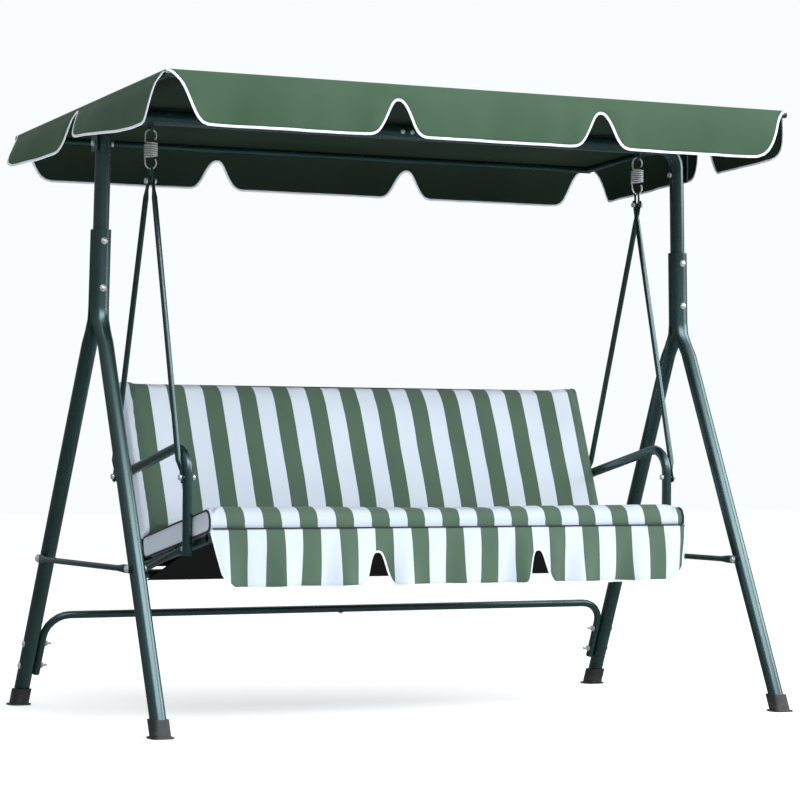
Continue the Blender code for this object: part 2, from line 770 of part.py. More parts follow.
def open_back(body, cushion, start, end):
    """Open a cushion towards the sling behind it, leaving a front and four edges of one thickness."""
    along = Vector((end[0] - start[0], end[1] - start[1])).normalized()
    behind = Vector((along.y, -along.x)) * CUSHION_BEVEL
    low = Vector(start) + along * BACK_CUSHION_WALL + behind
    high = Vector(end) - along * BACK_CUSHION_WALL + behind
    depth = BACK_CUSHION_THICK - BACK_CUSHION_WALL + CUSHION_BEVEL
    cut_away(body, cushion, slab(tilted_outline(low, high, depth), CUSHION_HALF - BACK_CUSHION_WALL))


def make_cushions(body):
    """Two plain pads with rounded edges, at the size of the sewn cushions.

    The seat's is solid and the back's is an open-backed shell, which puts the middle of the hanging
    seat's weight under its pivots.
    """
    start = (SEAT_CUSHION_FRONT_Y, cushion_base_z(SEAT_CUSHION_FRONT_Y) + GAP)
    end = (SEAT_CUSHION_REAR_Y, cushion_base_z(SEAT_CUSHION_REAR_Y) + GAP)
    outline = tilted_outline(start, end, SEAT_CUSHION_THICK)
    seat = add_part(body, "seat_cushion", slab(outline, CUSHION_HALF), "cushion")
    round_edges(seat, CUSHION_BEVEL)
    offset = RAIL_RADIUS + 3 * GAP + SLING_THICK
    lift = BACK_SLOPE / (1 + BACK_SLOPE ** 2) * BACK_CUSHION_THICK
    low_z = BACK_CUSHION_LOW_Z - lift
    high_z = BACK_CUSHION_HIGH_Z - lift
    start = (back_plane_y(low_z, offset), low_z)
    end = (back_plane_y(high_z, offset), high_z)
    outline = tilted_outline(start, end, BACK_CUSHION_THICK)
    back = add_part(body, "back_cushion", slab(outline, CUSHION_HALF), "cushion")
    round_edges(back, CUSHION_BEVEL)
    open_back(body, back, start, end)


def make_flap(body):
    """The scalloped flap that hangs from the seat cushion's front seam."""
    length = 2 * CUSHION_HALF
    notches = [CUSHION_HALF + x for x in FLAP_NOTCHES]
    columns = scallop_columns(notches, FLAP_NOTCH_HALF, length, FLAP_CORNER)
    mesh_data = bmesh.new()
    grid = []
    for place in columns:
        heights = (FLAP_TOP_Z, FLAP_TOP_Z - flap_drop(place, notches, length))
        grid.append([mesh_data.verts.new((place - CUSHION_HALF, FLAP_Y, z)) for z in heights])
    for left, right in zip(grid, grid[1:]):
        mesh_data.faces.new((left[0], left[1], right[1], right[0]))
    flap = add_part(body, "seat_flap", mesh_data, "cushion")
    thicken(flap, FLAP_THICK, Vector((0, -1, 0)))


def thicken(part, thickness, towards):
    """Give a sheet its thickness on the side that faces towards."""
    solidify = part.modifiers.new("thickness", "SOLIDIFY")
    solidify.thickness = thickness
    facing = part.data.polygons[0].normal.dot(towards)
    solidify.offset = math.copysign(1, facing)


# Canopy

def canopy_z(y):
    share = (y - CANOPY_FRONT[0]) / (CANOPY_REAR[0] - CANOPY_FRONT[0])
    return CANOPY_FRONT[1] + share * (CANOPY_REAR[1] - CANOPY_FRONT[1])


def make_canopy_cover(body):
    """A flat roof sheet with a scalloped valance along each edge, slit at the corners."""
    front_y, front_z = CANOPY_FRONT
    rear_y, rear_z = CANOPY_REAR
    corners = [
        Vector((-CANOPY_HALF, front_y, front_z)),
        Vector((CANOPY_HALF, front_y, front_z)),
        Vector((CANOPY_HALF, rear_y, rear_z)),
        Vector((-CANOPY_HALF, rear_y, rear_z)),
    ]
    edges = [
        (FRONT_DROP, NOTCH_DROP, [x + CANOPY_HALF for x in FRONT_NOTCHES], (0, -1, 0)),
        (SIDE_DROP, SIDE_NOTCH_DROP, [RIGHT_NOTCH_Y - front_y], (1, 0, 0)),
        (REAR_DROP, NOTCH_DROP, [CANOPY_HALF - x for x in REAR_NOTCHES], (0, 1, 0)),
        (SIDE_DROP, SIDE_NOTCH_DROP, [rear_y - LEFT_NOTCH_Y], (-1, 0, 0)),
    ]
    mesh_data = bmesh.new()
    corner_verts = [mesh_data.verts.new(corner) for corner in corners]
    rim = []
    for i, (full, notch_drop, notches, outward) in enumerate(edges):
        start = corners[i]
        run = corners[(i + 1) % 4] - start
        length = run.length
        top_verts = []
        grid = []
        for place in scallop_columns(notches, NOTCH_HALF, length, CORNER_HALF):
            top = start + run * place / length
            drop = scallop_drop(place, notches, full, notch_drop, NOTCH_HALF, length, CORNER_DROP)
            if place == 0:
                edge_vert = corner_verts[i]
            elif place == length:
                edge_vert = corner_verts[(i + 1) % 4]
            else:
                edge_vert = mesh_data.verts.new(top)
            hem = top + Vector(outward) * CANOPY_FLARE * drop / full - Vector((0, 0, drop))
            middle = top.lerp(hem, 0.5)
            grid.append([edge_vert, mesh_data.verts.new(middle), mesh_data.verts.new(hem)])
            top_verts.append(edge_vert)
        for left, right in zip(grid, grid[1:]):
            for row in range(2):
                mesh_data.faces.new((left[row], left[row + 1], right[row + 1], right[row]))
        rim.extend(top_verts[:-1])
    mesh_data.faces.new(rim)
    cover = add_part(body, "canopy_cover", mesh_data, "canopy_fabric")
    solidify = cover.modifiers.new("thickness", "SOLIDIFY")
    solidify.thickness = CANOPY_THICK
    solidify.use_even_offset = True
    roof = cover.data.polygons[len(cover.data.polygons) - 1]
    solidify.offset = -math.copysign(1, roof.normal.z)


def make_canopy_frame(body):
    """Four tubes just under the fabric's edges, and a bracket on each side bar."""
    inset = CANOPY_THICK + CANOPY_TUBE + 3 * GAP
    front = (CANOPY_FRONT[0] + inset, canopy_z(CANOPY_FRONT[0] + inset) - inset)
    rear = (CANOPY_REAR[0] - inset, canopy_z(CANOPY_REAR[0] - inset) - inset)
    half = CANOPY_BAR_X + CANOPY_TUBE
    for name, (y, z) in (("canopy_front_bar", front), ("canopy_rear_bar", rear)):
        part = hollow_tube([(-half, y, z), (half, y, z)], CANOPY_TUBE, Y_AXIS, wall=ROD_WALL)
        add_part(body, name, part, "frame_paint")
    clear = CANOPY_TUBE + 2 * GAP
    for side in SIDES:
        ends = []
        for y in (front[0] + clear, rear[0] - clear):
            ends.append((side * CANOPY_BAR_X, y, canopy_z(y) - inset))
        part = hollow_tube(ends, CANOPY_TUBE, X_AXIS, wall=ROD_WALL)
        add_part(body, "canopy_side_bar_" + SIDE_NAMES[side], part, "frame_paint")
        make_bracket(body, side, inset)


def make_bracket(body, side, inset):
    """A flat plate from the side bar down to the pivot bolt."""
    half = BRACKET_WIDTH / 2
    top = min(canopy_z(half), canopy_z(-half)) - inset - CANOPY_TUBE - 2 * GAP
    low = CANOPY_PIVOT_Z - BRACKET_BELOW
    mesh_data = bmesh.new()
    place = Matrix.Translation((side * BRACKET_X, 0, (top + low) / 2))
    size = Matrix.Diagonal((BRACKET_THICK, BRACKET_WIDTH, top - low, 1))
    bmesh.ops.create_cube(mesh_data, size=1, matrix=place @ size)
    bracket = add_part(body, "canopy_bracket_" + SIDE_NAMES[side], mesh_data, "frame_paint")
    drill(body, bracket, Vector((side * BRACKET_X, 0, CANOPY_PIVOT_Z)), BOLT_HOLE)


# Assembly

def make_frame(body):
    for side in SIDES:
        for place, foot_y in (("front", FRONT_FOOT_Y), ("rear", REAR_FOOT_Y)):
            label = place + "_" + SIDE_NAMES[side]
            make_leg(body, side, foot_y, "leg_" + label)
            make_foot(body, side, foot_y, "foot_" + label)
        make_post(body, side)
        make_side_brace(body, side)
        make_base_bar(body, side)
        make_hook_eye(body, side)
        post_x = lean_x(CANOPY_PIVOT_Z)
        grip_in = post_x - LEG_RADIUS - GAP
        grip_out = BRACKET_X + BRACKET_THICK / 2 + GAP
        bolt(body, "canopy_pivot_bolt_" + SIDE_NAMES[side], side, (0, CANOPY_PIVOT_Z), grip_in, grip_out)
    make_crossbar_insert(body)
    make_base_insert(body)


def make_hangers(body):
    """Front and rear rods of each side, joined at the link and bolted to the arm."""
    pin_gap = LINK_WIRE + ROD_FLAT + 2 * GAP
    for side in SIDES:
        make_hanger_rod(body, side, "front", FRONT_BOLT, HANG_X - pin_gap)
        make_hanger_rod(body, side, "rear", REAR_BOLT, HANG_X + pin_gap)
        reach = pin_gap + ROD_FLAT + GAP
        name = SIDE_NAMES[side]
        bolt(body, "hanger_pivot_bolt_" + name, side, (0, SEAT_PIVOT_Z), HANG_X - reach, HANG_X + reach)
        rod_face = ARM_X + ARM_RADIUS + 2 * ROD_FLAT + 2 * GAP
        bolt(body, "arm_bolt_front_" + name, side, FRONT_BOLT, ARM_X - ARM_RADIUS - GAP, rod_face)
        bolt(body, "arm_bolt_rear_" + name, side, REAR_BOLT, RAIL_X - RAIL_RADIUS - GAP, rod_face)


def main():
    frame = Body("frame_plane", 0.0)
    springs = Body("swing_axis", EYE_BOTTOM_Z, frame)
    links = Body("bounce_axis", LINK_TOP_Z, springs)
    seat = Body("seat_pivot_axis", SEAT_PIVOT_Z, links)
    canopy = Body("canopy_pivot_axis", CANOPY_PIVOT_Z, frame)
    make_frame(frame)
    for side in SIDES:
        make_spring(springs, side)
        make_link(links, side)
        make_arm(seat, side)
    make_hangers(seat)
    make_seat_frame(seat)
    make_slings(seat)
    make_cushions(seat)
    make_flap(seat)
    make_canopy_cover(canopy)
    make_canopy_frame(canopy)


clear_scene()
MATERIALS = make_materials()
main()
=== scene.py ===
"""Looks of the canopy swing bench: sewn cushions, hanging canopy, springs, fixings and finishes.

Lengths are in metres, +Z up, and the front faces -Y. Points are worked out from the plane of the two
posts, like the CAD source, and moved into the shared frame as each piece is made.
"""

import json
import math

import bmesh
import bpy
from mathutils import Matrix, Vector, noise


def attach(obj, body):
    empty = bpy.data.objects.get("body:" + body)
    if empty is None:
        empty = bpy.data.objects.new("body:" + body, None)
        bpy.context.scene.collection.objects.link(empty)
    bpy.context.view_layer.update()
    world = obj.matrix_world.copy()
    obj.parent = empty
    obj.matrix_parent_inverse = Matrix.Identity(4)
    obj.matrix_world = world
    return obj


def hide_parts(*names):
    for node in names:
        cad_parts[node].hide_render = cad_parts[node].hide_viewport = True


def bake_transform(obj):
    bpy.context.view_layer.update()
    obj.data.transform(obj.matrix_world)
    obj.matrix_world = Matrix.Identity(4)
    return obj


SIDES = (-1, 1)
SIDE_NAMES = {-1: "left", 1: "right"}
X_AXIS = Vector((1, 0, 0))
Y_AXIS = Vector((0, 1, 0))
Z_AXIS = Vector((0, 0, 1))

# Canopy fabric: edges, hems and folds
CANOPY_HALF = 0.849
CANOPY_FRONT = (-0.455, 1.508)
CANOPY_REAR = (0.507, 1.435)
EDGE_RADIUS = 0.010
ROOF_X = (-CANOPY_HALF + EDGE_RADIUS, CANOPY_HALF - EDGE_RADIUS)
ROOF_Y = (CANOPY_FRONT[0] + EDGE_RADIUS, CANOPY_REAR[0] - EDGE_RADIUS)
CANOPY_CLOTH = 0.0012
BELL_REACH = 2.0
BELL_POWER = 2.4
NOTCH_HALF = 0.080
NOTCH_DROP = 0.040
SIDE_NOTCH_DROP = 0.014
CORNER_HALF = 0.098
CORNER_DROP = 0.004
FRONT_DROP = 0.124
REAR_DROP = 0.114
SIDE_DROP = 0.112
LEFT_FRONT_DROP = 0.084
LEFT_REAR_DROP = 0.096
FRONT_NOTCHES = (-0.260, 0.294)
REAR_NOTCHES = (-0.284, 0.278)
LEFT_NOTCH_Y = 0.074
RIGHT_NOTCH_Y = -0.055
EDGE_FLARES = (0.001, 0.003, 0.002, 0.006)
EDGE_SEEDS = (0.4, 2.1, 3.3, 5.2)
RIGHT_CORNER_WING = 0.018
FRONT_WING_REACH = 0.20
RIGHT_WING_REACH = 0.25
LEFT_REAR_WING = 0.034
LEFT_REAR_WING_REACH = 0.33
LEFT_NOTCH_WING = 0.024
LEFT_NOTCH_WING_REACH = 0.36
CORNER_TURN = 0.030
ROOF_SPACING = (0.020, 0.0042, 0.075)
ROOF_BOW = 0.0022
ROOF_DIPS = 0.0075
ROOF_LIFT = -0.0010
ROOF_FIRM_EDGE = 0.08
VALANCE_ROWS = 14
VALANCE_BULGE = 0.0125
VALANCE_WAVES = ((0.0034, 0.235, 1), (0.0016, 0.097, 2))
NOTCH_LIP = 0.0085
NOTCH_LIP_AWAY = 0.062
NOTCH_LIP_HALF = 0.026
NOTCH_PUCKER = 0.0050
NOTCH_PUCKER_HALF = 0.022
BINDING_HALF = 0.0034
BINDING_THICK = 0.0013

# Seat and back planes
SEAT_REFERENCE = (-0.283, 0.459)
SEAT_SLOPE = -0.2044
BACK_REFERENCE = (0.222, 0.577)
BACK_SLOPE = 0.395
RAIL_RADIUS = 0.011
BAR_GAP = 0.0008
CUSHION_HALF = 0.655
SEAT_FRONT_Y = -0.290
SEAT_LENGTH = 0.398
SEAT_THICK = 0.049
BACK_LENGTH = 0.410
BACK_THICK = 0.0515
BACK_LOW_Z = 0.437
PAD_BULGE = 0.003
PAD_END_SIZES = ((1.0, 0.05), (0.95, 0.45), (0.5, 0.80), (0.0, 0.96))
PAD_END_STEPS = (0.003, 0.007)
PAD_SPACING = (0.013, 0.004, 0.04)
PAD_SECTION_SPACING = (0.011, 0.0035, 0.03)
PAD_LUMPS = 0.0016
PAD_EDGE_WAVES = 0.0010
PAD_PULL = 0.003
SEAT_TIP_RADII = (0.020, 0.014)
SEAT_CROWN = 0.013
SEAT_CROWN_FADE = 0.75
SEAT_PAD_LIFT = 0.0004
BACK_TIP_RADII = (0.020, 0.022)
BACK_CROWN = 0.007
BACK_PAD_GAP = 0.0034
PIPING_RADIUS = 0.0028
PIPING_INSET = 0.001
PIPING_PROUD = 0.35

# Air that swells the sewn pads
CLOTH_FRAMES = 20
PAD_PRESSURE = 3.0
PAD_SLACK = 0.012
PAD_SWELL = 0.006
SEWN_END = 0.004
SEWN_UNDERSIDE = 0.008

# Black slings behind the cushions
SLING_CLOTH = 0.0016
SEAT_SLING_HALF = 0.631
SEAT_SLING_FRONT = (-0.2690, 0.4538)
SEAT_SLING_REAR = (0.1390, 0.3234)
SEAT_SLING_SAG = 0.004
BACK_SLING_HALF = 0.652
BACK_SLING_LOW_Z = 0.359
BACK_SLING_HIGH_Z = 0.807
BACK_SLING_SAG = 0.002

# Striped fabric
STRIPE_PITCH = 0.0961
STRIPE_GREEN = 0.048
SEAT_STRIPE_START = -0.6096
BACK_STRIPE_PITCH = 0.0970
BACK_STRIPE_START = -0.6416
STRIPE_WANDER = 0.0022
STRIPE_FRAY = 0.0004

# Colours: each pair is the darkest and the lightest tone of one material
PAINT_TONES = ((0.0036, 0.0170, 0.0150), (0.0062, 0.0240, 0.0215))
PAINT_WORN = (0.022, 0.048, 0.045)
PAINT_TINT = (0.66, 0.93, 1.0, 1.0)
ZINC_TONES = ((0.76, 0.78, 0.80), (0.93, 0.94, 0.95))
FOOT_BLACK = (0.020, 0.022, 0.023)
FOOT_DUST = (0.085, 0.084, 0.080)
SLING_TONES = ((0.0030, 0.0040, 0.0040), (0.0090, 0.0110, 0.0110))
STRIPE_GREENS = ((0.056, 0.102, 0.068), (0.070, 0.124, 0.083))
# Seat whites: the back's whites about 12% darker, painted shade that holds down the brighter light falling on the
# seat and its flap
SEAT_WHITES_SHADED = ((0.500, 0.565, 0.650), (0.545, 0.610, 0.690))
BACK_WHITES = ((0.570, 0.640, 0.730), (0.615, 0.685, 0.770))
CANOPY_GREENS = ((0.036, 0.077, 0.043), (0.047, 0.095, 0.056))
# Canopy inner face: the same green cloth made about three times darker, painted shade under the roof
CANOPY_INSIDES_SHADED = ((0.012, 0.020, 0.014), (0.017, 0.027, 0.019))
CANOPY_SHINE = 0.22
BINDING_TONES = ((0.74, 0.79, 0.86), (0.60, 0.64, 0.70))
PIPING_TONES = ((0.012, 0.018, 0.016), (0.03, 0.035, 0.033))
FLOOR_TONES = ((0.90, 0.905, 0.91), (0.93, 0.935, 0.94))
FLOOR_GLOW = 0.46

# Weaves and stitches
SLING_THREADS = 0.0026
STRIPE_THREADS = 0.0016
CANOPY_THREADS = 0.0014
TAPE_RIBS = 0.0011
STITCH_PITCH = 0.0036
STITCH_SHARE = 0.72
STITCH_HALF = 0.07

# Flap in front of the seat cushion
FLAP_TOP = (-0.2915, 0.4640)
FLAP_DROP = 0.140
FLAP_NOTCHES = (-0.223, 0.223)
FLAP_NOTCH_HALF = 0.056
FLAP_NOTCH_DROP = 0.058
FLAP_NOTCH_POWER = 3.2
FLAP_CORNER = 0.035
FLAP_CLOTH = 0.0026
FLAP_HEM_WAVES = 0.003
FLAP_SPACING = (0.014, 0.0035, 0.06)
FLAP_ROWS = 12
FLAP_FOLDS = ((0.0090, 0.171, 1.1, 5), (0.0070, 0.083, 0.0, 9))
FLAP_RUMPLE = 0.0090
FLAP_LIP = 0.0050
FLAP_LIP_AWAY = 0.045
FLAP_LIP_HALF = 0.02
FLAP_PUFF = 0.0050
FLAP_PUFF_DEPTH = 0.05
FLAP_LEAN = 0.0042
FLAP_PULL = 0.034
FLAP_PULL_REACH = 0.30
FLAP_RIGHT_PULL = 0.010
FLAP_RIGHT_REACH = 0.2
FLAP_BINDING_HALF = 0.0028
FLAP_BINDING_THICK = 0.0019
SEAM_Z = 0.4645
SEAM_STEP = 0.0100
SEAM_STEPS = 65
SEAM_PROUD = 0.0022
SEAM_WAVES = 0.0006
SEAM_HALF = 0.0017
SEAM_THICK = 0.0015

# Suspension
HANG_X = 0.690
EYE_BOTTOM_Z = 1.4105
EYE_WIRE = 0.003
SPRING_WIRE = 0.002
SPRING_RADIUS = 0.015
SPRING_LOOP = 0.0145
SPRING_TURNS = 7
COIL_TOP_Z = 1.384
COIL_BOTTOM_Z = 1.351
LOOP_CLEARANCE = 0.0008
LOOP_TURN = 220
LOOP_STEPS = 24
TURN_STEPS = 28
LOWER_LOOP_Z = 1.3215

# Frame lines that the fixings sit on
FOOT_X = 0.8424
FRONT_FOOT_Y = -0.4465
REAR_FOOT_Y = 0.4573
LEG_MEET_Z = 1.011
LEAN = 0.0218
LEG_RADIUS = 0.019
SHELL_RADIUS = 0.0248
BRACE_Z = 0.374
BRACE_DEPTH = 0.0056
BASE_BAR_Z = 0.230
BASE_BAR_RADIUS = 0.0095
BASE_BOLTS_Z = (0.102, 0.158)
SLEEVE_BOLTS_Z = (1.030, 1.142)
CROSSBAR_Z = 1.446
RAIL_X = 0.6435
STRUT_FRONT = (-0.148, 0.413)
STRUT_DEPTH = 0.0056

# Fixings: head radii, and how deep a washer sinks into a flat or a round face
BRACE_BOLT = 0.0062
BASE_BOLT = 0.0060
STRUT_BOLT = 0.0052
BASE_SCREW = 0.0048
CROSSBAR_SCREW = 0.0042
FLAT_SINK = 0.0001
ROUND_SINK = 0.0004
LEG_SINK = 0.0006
THREAD_REACH = 0.016
THREAD_PITCH = 0.0010
CROSSBAR_SCREWS_X = (-0.015, 0.012)
BASE_SCREW_X = 0.009

# Turned profiles: distance along the axis, and radius as a share of the head's
DOME_STEPS = ((0.0, 1.40), (0.0010, 1.40), (0.0011, 1.0), (0.0022, 1.0), (0.0034, 0.82),
              (0.0041, 0.5), (0.0044, 0.1))
HEX_STEPS = ((0.0, 1.45), (0.0012, 1.45), (0.0013, 1.0), (0.0050, 1.0), (0.0056, 0.80), (0.0058, 0.1))
NUT_STEPS = ((0.0, 1.35), (0.0010, 1.35), (0.0011, 1.0), (0.0060, 1.0), (0.0065, 0.72))
HEX_FLATS = (2, 3)

# Studio: floor, area lights (name, place, aim, size, watts, seen in reflections) and world
FLOOR_REACH = 14.0
FLOOR_DEPTH = 16.0
LIGHT_COLOUR = (0.97, 0.99, 1.0)
LIGHTS = (
    ("arch_front", (0.4, -3.4, 3.5), (0, 0, 0.4), (4.6, 1.6), 125, True),
    ("arch_right", (3.9, -1.3, 2.5), (0, 0, 0.5), (2.4, 1.9), 75, True),
    ("front", (1.4, -5.4, 1.1), (0, 0, 0.7), (2.6, 1.6), 78, False),
    ("top", (0, -0.6, 4.4), (0, 0, 0), (3.2, 2.4), 36, True),
)
WORLD_COLOUR = (0.955, 0.98, 1.0, 1)
WORLD_SHADES = ((0, -0.8, 0.8, 0.55, 1.25), (2, -0.1, 0.9, 0.18, 0.80))

# Shading of the CAD nodes
WELD_DISTANCE = 0.00001
SHARP_ANGLE = 38

# Camera
CAMERA_PLACE = (-3.5102, -6.6577, 0.6976)
CAMERA_YAW = 0.4844
CAMERA_PITCH = 0.01003
CAMERA_ROLL = 0.0081
CAMERA_LENS = 134.86

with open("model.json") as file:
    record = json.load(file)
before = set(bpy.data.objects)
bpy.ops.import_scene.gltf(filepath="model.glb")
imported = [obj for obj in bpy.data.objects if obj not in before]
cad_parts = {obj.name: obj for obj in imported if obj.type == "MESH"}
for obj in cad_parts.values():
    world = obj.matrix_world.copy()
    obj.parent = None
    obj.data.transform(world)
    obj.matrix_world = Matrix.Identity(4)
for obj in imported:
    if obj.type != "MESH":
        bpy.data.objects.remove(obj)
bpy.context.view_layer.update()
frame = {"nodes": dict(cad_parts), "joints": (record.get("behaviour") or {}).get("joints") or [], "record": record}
JOINTS = {joint["name"]: joint for joint in frame["joints"]}
PLANE = Vector((0, JOINTS["swing"]["pos_m"][1], 0))


# Node materials

def set_range(node, start, end, low, high):
    for name, value in (("From Min", start), ("From Max", end), ("To Min", low), ("To Max", high)):
        node.inputs[name].default_value = value


class Nodes:
    """Short calls for wiring one material."""

    def __init__(self, name):
        self.material = bpy.data.materials.new(name)
        self.material.use_nodes = True
        self.tree = self.material.node_tree
        self.shader = self.tree.nodes["Principled BSDF"]
        self.place = self.add("ShaderNodeTexCoord").outputs["Object"]

    def add(self, kind, **values):
        node = self.tree.nodes.new(kind)
        for key, value in values.items():
            setattr(node, key, value)
        return node

    def link(self, value, socket):
        if isinstance(value, bpy.types.NodeSocket):
            self.tree.links.new(value, socket)
        else:
            socket.default_value = value

    def set(self, **values):
        for key, value in values.items():
            self.link(value, self.shader.inputs[key.replace("_", " ").title().replace("Ior", "IOR")])

    def math(self, operation, a, b=0.0):
        node = self.add("ShaderNodeMath", operation=operation)
        self.link(a, node.inputs[0])
        self.link(b, node.inputs[1])
        return node.outputs[0]

    def axis(self, index, source=None):
        node = self.add("ShaderNodeSeparateXYZ")
        self.link(source or self.place, node.inputs[0])
        return node.outputs[index]

    def noise(self, scale, detail=3.0, roughness=0.5, stretch=None):
        source = self.place
        if stretch is not None:
            mapping = self.add("ShaderNodeMapping")
            mapping.inputs["Scale"].default_value = stretch
            self.link(source, mapping.inputs["Vector"])
            source = mapping.outputs[0]
        node = self.add("ShaderNodeTexNoise")
        self.link(source, node.inputs["Vector"])
        node.inputs["Scale"].default_value = scale
        node.inputs["Detail"].default_value = detail
        node.inputs["Roughness"].default_value = roughness
        return node.outputs["Fac"]

    def ramp(self, value, low, high, start=0.0, end=1.0):
        """Map a value from start..end to low..high."""
        node = self.add("ShaderNodeMapRange")
        self.link(value, node.inputs["Value"])
        set_range(node, start, end, low, high)
        return node.outputs[0]

    def mix(self, share, first, second):
        node = self.add("ShaderNodeMix", data_type="RGBA")
        self.link(share, node.inputs["Factor"])
        colours = [socket for socket in node.inputs if socket.type == "RGBA"]
        for socket, colour in zip(colours, (first, second)):
            self.link(colour if isinstance(colour, bpy.types.NodeSocket) else (*colour, 1), socket)
        return [socket for socket in node.outputs if socket.type == "RGBA"][0]

    def bump(self, height, distance, strength=1.0, under=None):
        node = self.add("ShaderNodeBump")
        self.link(height, node.inputs["Height"])
        node.inputs["Distance"].default_value = distance
        node.inputs["Strength"].default_value = strength
        if under is not None:
            self.link(under, node.inputs["Normal"])
        return node.outputs[0]

    def threads(self, pitch, second):
        """A plain weave's height, from threads counted along X and along a second axis."""
        turn = math.tau / pitch
        across = self.math("SINE", self.math("MULTIPLY", self.axis(0), turn))
        along = self.math("SINE", self.math("MULTIPLY", self.axis(second), turn))
        return self.math("MULTIPLY", across, along)


def paint_material():
    """Dark green powder coat: orange peel, a little dust, thin bright scuffs."""
    n = Nodes("frame_paint")
    cloud = n.noise(9.0, 4.0)
    scuff = n.noise(90.0, 6.0, 0.7, stretch=(1, 1, 0.25))
    base = n.mix(n.ramp(cloud, 0, 1, 0.35, 0.7), *PAINT_TONES)
    worn = n.mix(n.ramp(scuff, 0, 1, 0.74, 0.82), base, PAINT_WORN)
    peel = n.bump(n.noise(420.0, 2.0), 0.00008, 0.25)
    n.set(base_color=worn, roughness=n.ramp(cloud, 0.24, 0.30, 0.3, 0.7), normal=peel, ior=2.0)
    n.set(specular_tint=PAINT_TINT)
    return n.material


def zinc_material():
    """Bright zinc plate with a soft crystalline mottle and fine brushing."""
    n = Nodes("zinc")
    mottle = n.noise(260.0, 3.0)
    base = n.mix(n.ramp(mottle, 0, 1, 0.35, 0.65), *ZINC_TONES)
    brushed = n.bump(n.noise(900.0, 2.0, stretch=(1, 1, 0.2)), 0.00005, 0.4)
    n.set(base_color=base, metallic=0.75, roughness=n.ramp(mottle, 0.28, 0.42), normal=brushed)
    return n.material


def plastic_material():
    """Moulded foot plastic: fine spark-eroded grain and dusty scuffing near the ground."""
    n = Nodes("foot_plastic")
    low = n.ramp(n.axis(2), 1, 0, 0.0, 0.03)
    dust = n.math("MULTIPLY", low, n.ramp(n.noise(80.0, 5.0), 0, 1, 0.4, 0.7))
    base = n.mix(dust, FOOT_BLACK, FOOT_DUST)
    n.set(base_color=base, roughness=n.ramp(dust, 0.50, 0.75), normal=n.bump(n.noise(1500.0), 0.00006, 0.6))
    return n.material


def sling_material():
    """Black open weave of coated yarns."""
    n = Nodes("sling_weave")
    weave = n.threads(SLING_THREADS, 1)
    base = n.mix(n.ramp(weave, 0, 1, -1, 1), *SLING_TONES)
    n.set(base_color=base, roughness=0.80, normal=n.bump(weave, 0.0003, 0.6), specular_ior_level=0.12)
    return n.material


def striped_material(name, start, pitch, second, whites):
    """Woven polyester in broad green and white stripes across X, the edges wandering a little."""
    n = Nodes(name)
    wander = n.ramp(n.noise(7.0, 2.0), -STRIPE_WANDER, STRIPE_WANDER)
    frayed = n.ramp(n.noise(700.0, 1.0), -STRIPE_FRAY, STRIPE_FRAY)
    x = n.math("ADD", n.axis(0), n.math("ADD", wander, frayed))
    turns = n.math("DIVIDE", n.math("SUBTRACT", x, start), pitch)
    part = n.math("FRACT", turns)
    green = n.math("LESS_THAN", part, STRIPE_GREEN / pitch)
    green = n.math("MULTIPLY", green, n.math("GREATER_THAN", turns, 0.0))
    tone = n.ramp(n.noise(5.0, 4.0), 0, 1, 0.3, 0.7)
    white = n.mix(tone, *whites)
    leaf = n.mix(tone, *STRIPE_GREENS)
    weave = n.threads(STRIPE_THREADS, second)
    creases = n.noise(28.0, 4.0, 0.55)
    fine = n.bump(weave, 0.00012, 0.5)
    n.set(base_color=n.mix(green, white, leaf), roughness=0.86, normal=n.bump(creases, 0.0016, 0.35, fine))
    n.set(sheen_weight=0.12, sheen_roughness=0.5)
    return n.material


def canopy_material(name, greens, shine):
    """Plain green polyester weave with slack creases."""
    n = Nodes(name)
    tone = n.ramp(n.noise(4.0, 5.0), 0, 1, 0.3, 0.7)
    weave = n.threads(CANOPY_THREADS, 2)
    creases = n.noise(14.0, 4.0, 0.5, stretch=(1, 1, 0.6))
    fine = n.bump(weave, 0.00010, 0.4)
    n.set(base_color=n.mix(tone, *greens), roughness=0.75, normal=n.bump(creases, 0.0030, 0.35, fine))
    n.set(specular_ior_level=shine, sheen_weight=shine * 0.3, sheen_roughness=0.5)
    return n.material


def tape_material(name, colour, stitch):
    """Folded binding tape or piping: ribbed across, with a stitch line along its middle."""
    n = Nodes(name)
    uv = n.add("ShaderNodeUVMap").outputs[0]
    along = n.axis(0, uv)
    around = n.axis(1, uv)
    ribs = n.math("SINE", n.math("MULTIPLY", along, math.tau / TAPE_RIBS))
    dash = n.math("LESS_THAN", n.math("FRACT", n.math("DIVIDE", along, STITCH_PITCH)), STITCH_SHARE)
    off_middle = n.math("SUBTRACT", n.math("FRACT", n.math("MULTIPLY", around, 2)), 0.5)
    line = n.math("LESS_THAN", n.math("ABSOLUTE", off_middle), STITCH_HALF)
    sewn = n.math("MULTIPLY", dash, line)
    n.set(base_color=n.mix(sewn, colour, stitch), roughness=0.8)
    height = n.math("SUBTRACT", n.math("MULTIPLY", ribs, 0.15), n.math("MULTIPLY", line, 0.8))
    n.set(normal=n.bump(height, 0.0003, 0.6), sheen_weight=0.1)
    return n.material


# Making pieces

def smoothstep(value):
    value = min(max(value, 0.0), 1.0)
    return value * value * (3 - 2 * value)


